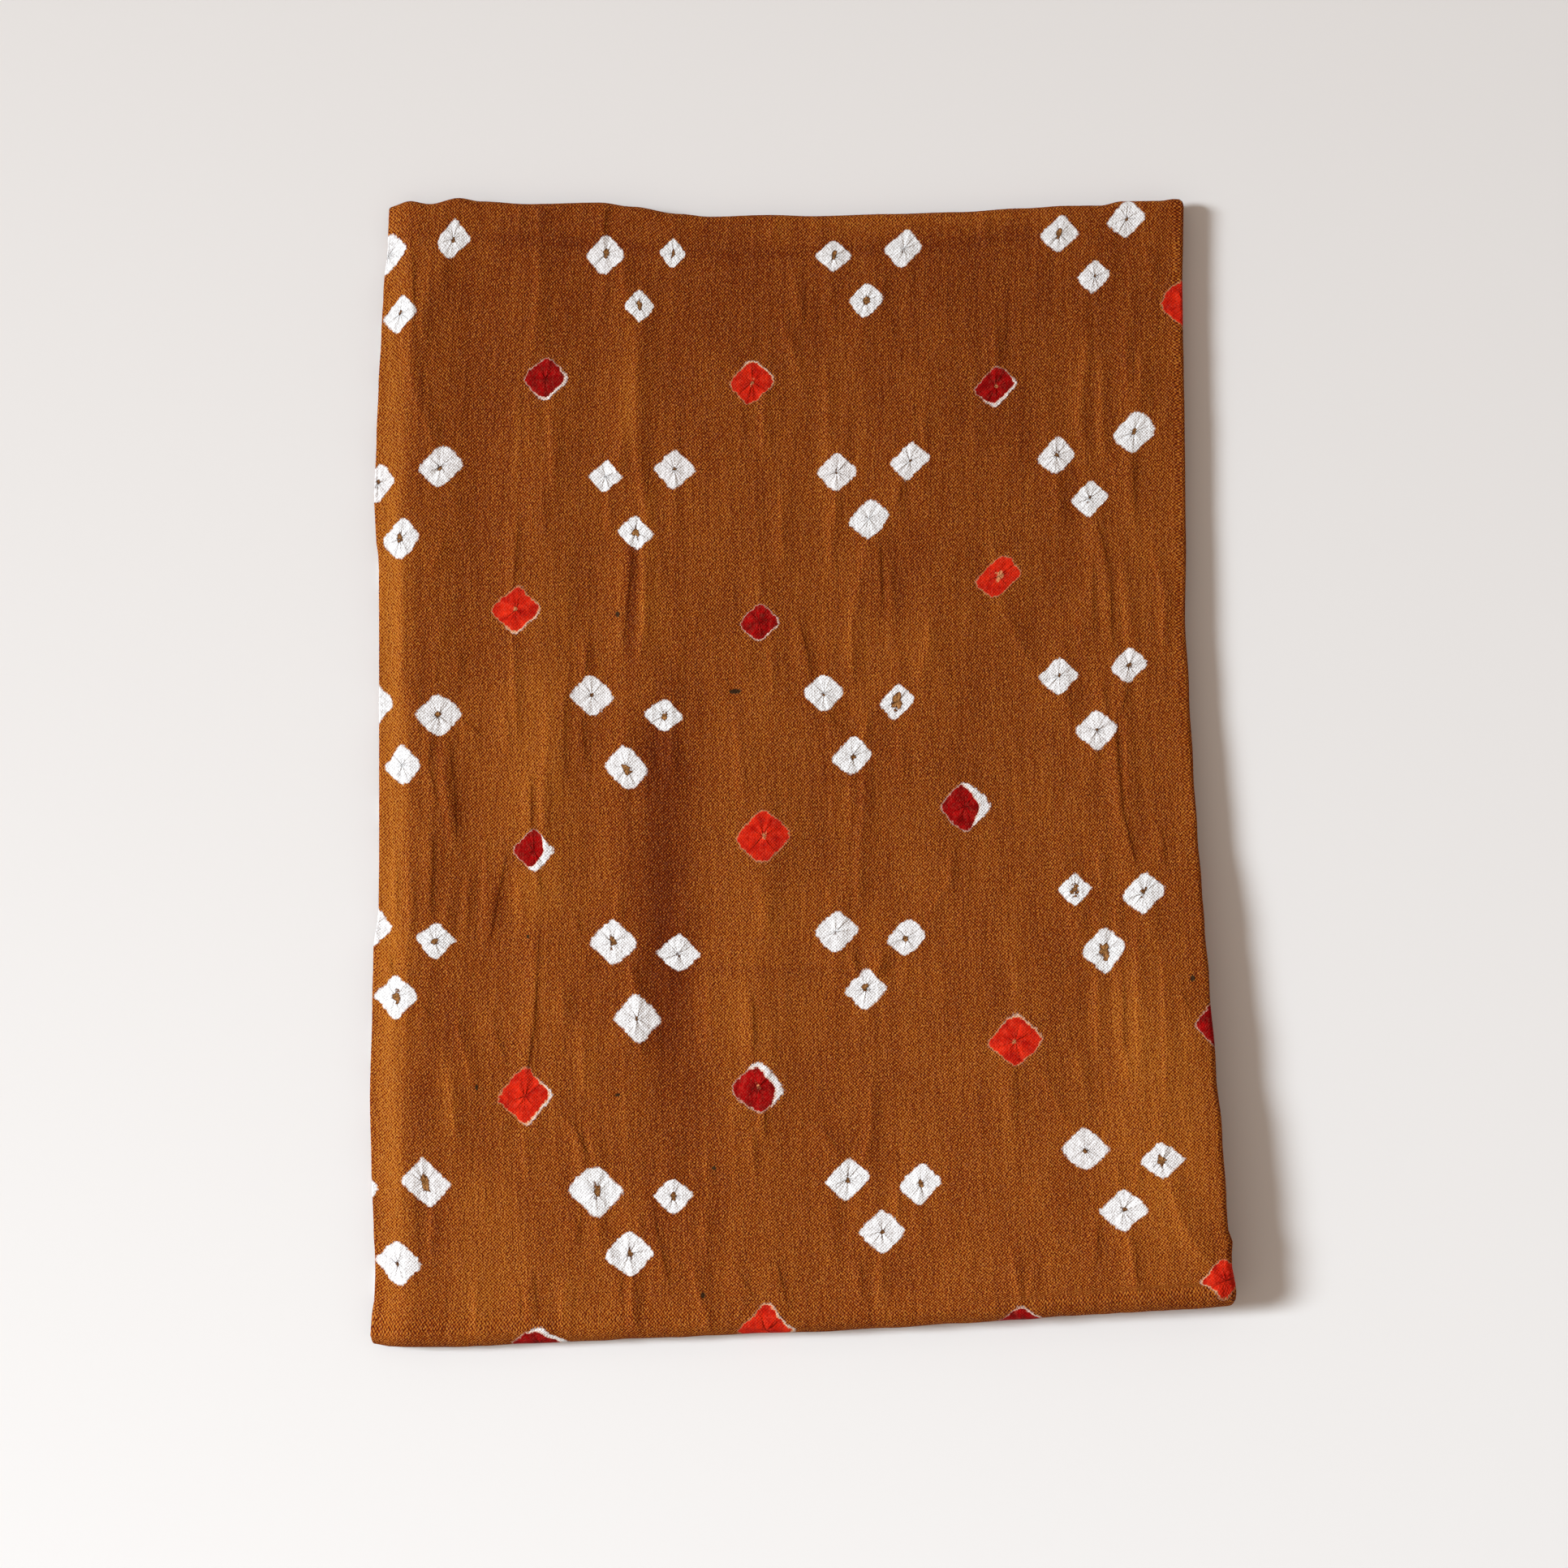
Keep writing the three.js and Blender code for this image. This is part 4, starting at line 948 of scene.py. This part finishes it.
def bandhani_cotton(cloth):
    """Coarse plain-woven handloom cotton, tied and dyed in rust brown over white, crimson and orange:
    matt, with slubs along the warp, a feathered edge where dye crept along threads, and a crimp."""
    material = bpy.data.materials.new("tie_dyed_cotton")
    material.use_nodes = True
    tree = material.node_tree
    tree.nodes.clear()
    place = add(tree, "ShaderNodeAttribute", out=1, attribute_name="thread_place")
    knot = add(tree, "ShaderNodeAttribute", out=1, attribute_name="knot_place")
    look = add(tree, "ShaderNodeAttribute", out=1, attribute_name="knot_look")
    pale = add(tree, "ShaderNodeAttribute", out=1, attribute_name="knot_pale")
    dye_and_shade_depth = add(tree, "ShaderNodeAttribute", out=2, attribute_name="dye_and_shade_depth")
    dye, mark_size, tint = add(tree, SEPARATE, {0: look}, out=XYZ)
    pale_x, pale_y, squareness = add(tree, SEPARATE, {0: pale}, out=XYZ)

    # The yarn's slubs, lint and crimp, and the dye's clouds.
    noises = {}
    for grain in GRAINS:
        scale = (1 / grain.weft, 1 / grain.warp, 1)
        scaled = add(tree, VECTOR, {0: place, 1: scale, 2: (grain.shift,) * 3}, operation="MULTIPLY_ADD")
        noises[grain.name] = add(tree, NOISE, {"Vector": scaled, "Scale": 1.0, "Detail": grain.detail,
                                               "Roughness": GRAIN_ROUGHNESS})

    # Weave: sines of the two thread directions, with the threads' own wander.
    wander = add(tree, MATH, {0: noises["wander"], 1: 0.5}, operation="SUBTRACT")
    moved = add(tree, VECTOR, {0: THREAD_WANDER, "Scale": wander}, operation="SCALE")
    moved = add(tree, VECTOR, {0: place, 1: moved}, operation="ADD")
    turns = add(tree, VECTOR, {0: moved, 1: (2 * math.pi / RIB_PITCH,) * 3}, operation="MULTIPLY")
    waves = add(tree, VECTOR, {0: turns}, operation="SINE")
    weft_wave, warp_wave, _ = add(tree, SEPARATE, {0: waves}, out=XYZ)
    weave = add(tree, MATH, {0: weft_wave, 1: warp_wave}, operation="MULTIPLY")

    # Each float of thread takes its own depth of dye, and those of the next column lie half a float
    # further on. The next float's own depth counts against it, so that the speckle stays fine.
    threads = add(tree, VECTOR, {0: moved, 1: (1 / FLOAT_WIDE, 1 / FLOAT_LONG, 1)}, operation="MULTIPLY")
    column, row, _ = add(tree, SEPARATE, {0: threads}, out=XYZ)
    column = add(tree, MATH, {0: column}, operation="FLOOR")
    stagger = add(tree, MATH, {0: column, 1: 1.0}, operation="PINGPONG")
    row = add(tree, MATH, {0: stagger, 1: 0.5, 2: row}, operation="MULTIPLY_ADD")
    row = add(tree, MATH, {0: row}, operation="FLOOR")
    crossing = add(tree, COMBINE, {0: column, 1: row})
    floats = add(tree, "ShaderNodeTexWhiteNoise", {"Vector": crossing}, noise_dimensions="2D")
    beside = add(tree, VECTOR, {0: crossing, 1: (1, 0, 0)}, operation="ADD")
    beside = add(tree, "ShaderNodeTexWhiteNoise", {"Vector": beside}, noise_dimensions="2D")
    noises["floats"], noises["floats_beside"] = floats, beside

    # Depth of the brown dye from 0, dark, to 1, light, with the patches' painted shade and painted
    # highlight in it.
    depth = add(tree, MATH, {0: weave, 1: WEAVE_DYE, 2: dye_and_shade_depth}, operation="MULTIPLY_ADD")
    depth = blend_noises(tree, depth, noises, DYE_SHARES)
    brown = tree.nodes.new("ShaderNodeValToRGB")
    tree.links.new(depth, brown.inputs[0])
    ramp = brown.color_ramp
    ramp.elements[0].position, ramp.elements[0].color = 0.0, linear(DYE_DARK)
    ramp.elements[1].position, ramp.elements[1].color = 1.0, linear(DYE_LIGHT)
    ramp.elements.new(0.5).color = linear(DYE_MIDDLE)
    colour = brown.outputs[0]

    # The knot is a square of cloth on its point, with round corners. A point's distance from the
    # middle is 1 on its outline, which is lumpy and frayed along the threads.
    edge = point_distance(tree, knot, squareness)
    noises["lumps"] = add(tree, NOISE, {"Vector": knot, "Scale": 1.1, "Detail": 2.0, "Roughness": 0.65})
    edge = blend_noises(tree, edge, noises, EDGE_SHARES)
    undyed = add(tree, RANGE, {"Value": edge, "From Min": 1.06, "From Max": 0.93},
                 interpolation_type="SMOOTHSTEP")
    is_red = add(tree, MATH, {0: dye, 1: 0.5}, operation="GREATER_THAN")
    is_orange = add(tree, MATH, {0: dye, 1: 1.5}, operation="GREATER_THAN")

    # The second dye fills a red knot but for a thin pale rim, and stops short of it on the pale side.
    pale = add(tree, COMBINE, {0: pale_x, 1: pale_y})
    short = add(tree, VECTOR, {0: knot, 1: pale}, out=1, operation="DOT_PRODUCT")
    short = add(tree, MATH, {0: short, 1: 0.0}, operation="MAXIMUM")
    second = add(tree, MATH, {0: edge, 1: short}, operation="ADD")
    dyed_red = add(tree, RANGE, {"Value": second, "From Min": 1.01, "From Max": 0.95},
                   interpolation_type="SMOOTHSTEP")
    dyed_red = add(tree, MATH, {0: dyed_red, 1: is_red}, operation="MULTIPLY")

    # Undyed cotton, from dull to bright float by float, partly by its own unevenness and partly as
    # painted shade and painted highlight, and creamier at a red knot's rim.
    clean = add(tree, MIX, {
        MIX_FACTOR: floats, MIX_A: linear(COTTON_SHADED_DULL), MIX_B: linear(COTTON_LIT_BRIGHT),
    }, **MIX_COLOURS)
    blush = add(tree, MATH, {0: tint, 1: 0.12}, operation="MULTIPLY")
    clean = add(tree, MIX, {MIX_FACTOR: blush, MIX_A: clean, MIX_B: linear(COTTON_BLUSH)}, **MIX_COLOURS)
    rim = add(tree, RANGE, {"Value": second, "From Min": 1.12, "From Max": 1.0})
    rim = add(tree, MATH, {0: rim, 1: is_red}, operation="MULTIPLY")
    rim_share = add(tree, RANGE, {"Value": is_orange, "To Min": 0.5, "To Max": 0.92})
    rim = add(tree, MATH, {0: rim, 1: rim_share}, operation="MULTIPLY")
    cream = add(tree, MIX, {MIX_FACTOR: rim, MIX_A: clean, MIX_B: linear(RIM_CREAM)}, **MIX_COLOURS)
    colour = add(tree, MIX, {MIX_FACTOR: undyed, MIX_A: colour, MIX_B: cream}, **MIX_COLOURS)

    # The reds, mottled where the dye took unevenly.
    mottle = add(tree, NOISE, {"Vector": knot, "Scale": 2.2, "Detail": 3.0, "Roughness": 0.65})
    mottle = add(tree, RANGE, {"Value": mottle, "From Min": 0.32, "From Max": 0.68})
    crimson = add(tree, MIX, {
        MIX_FACTOR: mottle, MIX_A: linear(CRIMSON_DARK), MIX_B: linear(CRIMSON_LIGHT),
    }, **MIX_COLOURS)
    orange = add(tree, MIX, {
        MIX_FACTOR: mottle, MIX_A: linear(ORANGE_DARK), MIX_B: linear(ORANGE_LIGHT),
    }, **MIX_COLOURS)
    red = add(tree, MIX, {MIX_FACTOR: is_orange, MIX_A: crimson, MIX_B: orange}, **MIX_COLOURS)
    colour = add(tree, MIX, {MIX_FACTOR: dyed_red, MIX_A: colour, MIX_B: red}, **MIX_COLOURS)

    # The peak of each knot stood out of the thread, so a speck of dye is at its middle: brown in the
    # white knots, and pale in the red ones, where it had stayed clear of the second dye.
    flat_knot = add(tree, VECTOR, {0: knot, 1: (1, 1, 0)}, operation="MULTIPLY")
    radius = add(tree, VECTOR, {0: flat_knot}, out=1, operation="LENGTH")
    noises["specks"] = add(tree, NOISE, {"Vector": knot, "Scale": 3.6, "Detail": 2.0})
    slit = add(tree, VECTOR, {0: flat_knot, 1: (1.4, 0.85, 0)}, operation="MULTIPLY")
    slit = add(tree, VECTOR, {0: slit}, out=1, operation="LENGTH")
    peak = blend_noises(tree, slit, noises, SPECK_SHARES)
    peak = add(tree, MATH, {0: mark_size, 1: peak}, operation="SUBTRACT")
    mark = add(tree, RANGE, {"Value": peak, "From Min": -0.03, "From Max": 0.05})
    marked = add(tree, MATH, {0: mark_size, 1: 0.02}, operation="GREATER_THAN")
    mark = add(tree, MATH, {0: mark, 1: marked}, operation="MULTIPLY")
    depth_in_mark = add(tree, RANGE, {"Value": peak, "From Min": 0.02, "From Max": 0.2})
    mark_dye = add(tree, MIX, {
        MIX_FACTOR: depth_in_mark, MIX_A: linear(SPECK_DARK), MIX_B: linear(SPECK_LIGHT),
    }, **MIX_COLOURS)
    mark_dye = add(tree, MIX, {
        MIX_FACTOR: is_red, MIX_A: mark_dye, MIX_B: linear(SPECK_PALE),
    }, **MIX_COLOURS)
    colour = add(tree, MIX, {MIX_FACTOR: mark, MIX_A: colour, MIX_B: mark_dye}, **MIX_COLOURS)

    # The flecks, each a small lumpy oval.
    nearest = 2.0
    for fleck in FLECKS:
        weft, warp = cloth.flat_place(*from_photo(fleck.px, fleck.py))
        across, along = (2 / (size * MM_PER_PIXEL) for size in (fleck.wide, fleck.tall))
        offset = add(tree, VECTOR, {
            0: place, 1: (across, along, 0), 2: (-weft * across, -warp * along, 0),
        }, operation="MULTIPLY_ADD")
        offset = add(tree, VECTOR, {0: offset}, out=1, operation="LENGTH")
        nearest = add(tree, MATH, {0: nearest, 1: offset}, operation="MINIMUM")
    nearest = blend_noises(tree, nearest, noises, FLECK_SHARES)
    husk = add(tree, RANGE, {"Value": nearest, "From Min": 1.25, "From Max": 0.75})
    colour = add(tree, MIX, {MIX_FACTOR: husk, MIX_A: colour, MIX_B: linear(HUSK_BROWN)}, **MIX_COLOURS)

    # Painted highlight: some floats catch the light on a fuzz of pale fibres. Painted shade: others lie
    # deep, and the gaps between threads are darker.
    fuzz_highlight = add(tree, RANGE, {"Value": floats, "From Min": 0.5, "From Max": 1.0, "To Max": 0.04})
    colour = add(tree, MIX, {MIX_FACTOR: fuzz_highlight, MIX_A: colour, MIX_B: linear(FUZZ_HIGHLIGHT_TAN)}, **MIX_COLOURS)
    deep_shade = add(tree, RANGE, {"Value": floats, "From Min": 0.5, "From Max": 0.0, "To Max": 0.1})
    colour = add(tree, MIX, {MIX_FACTOR: deep_shade, MIX_A: colour, MIX_B: linear(DEEP_SHADE_BROWN)}, **MIX_COLOURS)
    gap_shade = add(tree, RANGE, {
        "Value": weave, "From Min": -1.0, "From Max": 1.0, "To Min": 0.15, "To Max": 0.0,
    })
    colour = add(tree, MIX, {MIX_FACTOR: gap_shade, MIX_A: colour, MIX_B: linear(GAP_SHADE_BROWN)}, **MIX_COLOURS)

    # Relief in millimetres: threads, slubs, long crinkles, pleats that run to each knot's peak, and the
    # creases' sharp lines.
    direction = add(tree, VECTOR, {0: flat_knot}, operation="NORMALIZE")
    _, _, seed = add(tree, SEPARATE, {0: knot}, out=XYZ)
    seed = add(tree, COMBINE, {2: seed})
    spokes = add(tree, VECTOR, {0: direction, 1: (1.3, 1.3, 0), 2: seed}, operation="MULTIPLY_ADD")
    pleats = add(tree, NOISE, {"Vector": spokes, "Scale": 1.6, "Detail": 1.0})
    pleat_reach = add(tree, RANGE, {"Value": radius, "From Min": 1.5, "From Max": 0.2})
    pleats = add(tree, MATH, {0: pleats, 1: 0.5}, operation="SUBTRACT")
    pleats = add(tree, MATH, {0: pleats, 1: pleat_reach}, operation="MULTIPLY")
    relief = add(tree, MATH, {0: weave, 1: WEAVE_RELIEF}, operation="MULTIPLY")
    relief = add(tree, MATH, {0: pleats, 1: PLEAT_RELIEF, 2: relief}, operation="MULTIPLY_ADD")
    relief = blend_noises(tree, relief, noises, RELIEF_SHARES)
    for number in range(LINE_SETS):
        relief = add(tree, MATH, {0: relief, 1: sharp_line(tree, number)}, operation="ADD")
    bump = add(tree, "ShaderNodeBump", {"Height": relief, "Distance": MM, "Strength": 1.0})

    shader = add(tree, "ShaderNodeBsdfPrincipled", {
        "Base Color": colour, "Normal": bump, "Roughness": 0.95, "Specular IOR Level": 0.06,
    })
    add(tree, "ShaderNodeOutputMaterial", {"Surface": shader})
    return material


# The main lamp stands far off on the left and a little to the photograph's top, wide enough for soft
# shadows, and is aimed past the picture's bottom, so that its light thins out towards the top. A weaker
# and warmer light from the room fills the shadows. Distances are metres here, and powers watts.
DAY_DISTANCE = 10.0
DAY_ELEVATION = 35.0
DAY_TURN = -4.0
DAY_WIDTH = 18.0
DAY_SPREAD = 40.0
DAY_AIM = (0.0, -2.1, 0.0)
DAY_POWER = 139.0
DAY_COLOUR = "#EAF5FF"
ROOM_PLACE = (-0.3, 0.0, 0.8)
ROOM_LAMP_SIZE = 1.2
ROOM_LAMP_POWER = 1.0
ROOM_COLOUR = "#FFEADB"
ROOM_STRENGTH = 0.36
FLOOR_SIDE = 4.0
PAPER_WHITE = "#E8E5E1"


def pale_floor():
    """A plain matt paper sweep: off-white, faintly warm, with no gloss."""
    material = bpy.data.materials.new("matt_paper")
    material.use_nodes = True
    tree = material.node_tree
    tree.nodes.clear()
    shader = add(tree, "ShaderNodeBsdfPrincipled", {
        "Base Color": linear(PAPER_WHITE), "Roughness": 0.95, "Specular IOR Level": 0.2,
    })
    add(tree, "ShaderNodeOutputMaterial", {"Surface": shader})
    half = FLOOR_SIDE / 2
    corners = [(-half, -half, 0), (half, -half, 0), (half, half, 0), (-half, half, 0)]
    mesh = bpy.data.meshes.new("floor")
    mesh.from_pydata(corners, [], [(0, 1, 2, 3)])
    floor = link_object("floor", mesh, material)


def place_lamp(lamp, place, aim):
    holder = bpy.data.objects.new(lamp.name, lamp)
    holder.location = place
    holder.rotation_euler = (Vector(place) - Vector(aim)).to_track_quat("Z", "Y").to_euler()
    bpy.context.scene.collection.objects.link(holder)


def make_light():
    day = bpy.data.lights.new("main_lamp", "AREA")
    day.shape = "DISK"
    day.size = 2 * DAY_DISTANCE * math.tan(math.radians(DAY_WIDTH / 2))
    day.spread = math.radians(DAY_SPREAD)
    day.energy = DAY_POWER
    day.color = linear(DAY_COLOUR)[:3]
    level = DAY_DISTANCE * math.cos(math.radians(DAY_ELEVATION))
    turn = math.radians(DAY_TURN)
    rise = DAY_DISTANCE * math.sin(math.radians(DAY_ELEVATION))
    place_lamp(day, (-level * math.cos(turn), -level * math.sin(turn), rise), DAY_AIM)
    room = bpy.data.lights.new("room_lamp", "AREA")
    room.energy = ROOM_LAMP_POWER
    room.size = ROOM_LAMP_SIZE
    room.color = linear(ROOM_COLOUR)[:3]
    place_lamp(room, ROOM_PLACE, (0, 0, 0))
    world = bpy.data.worlds.new("room")
    bpy.context.scene.world = world
    world.use_nodes = True
    background = world.node_tree.nodes["Background"]
    background.inputs["Color"].default_value = linear(ROOM_COLOUR)
    background.inputs["Strength"].default_value = ROOM_STRENGTH
    bpy.context.scene.view_settings.view_transform = "Standard"


def make_cloth():
    cloth = Cloth()
    knots = knot_chart(cloth)
    pucker(cloth, knots)
    piece = link_object("bandhani_cloth", cloth_mesh(cloth, knots), bandhani_cotton(cloth))
    shell = piece.modifiers.new("thickness", "SOLIDIFY")
    shell.thickness = CLOTH_THICK * MM
    shell.offset = 0.0
    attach(piece, "root")
    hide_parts("folded_cloth")


make_camera()
make_light()
pale_floor()
make_cloth()
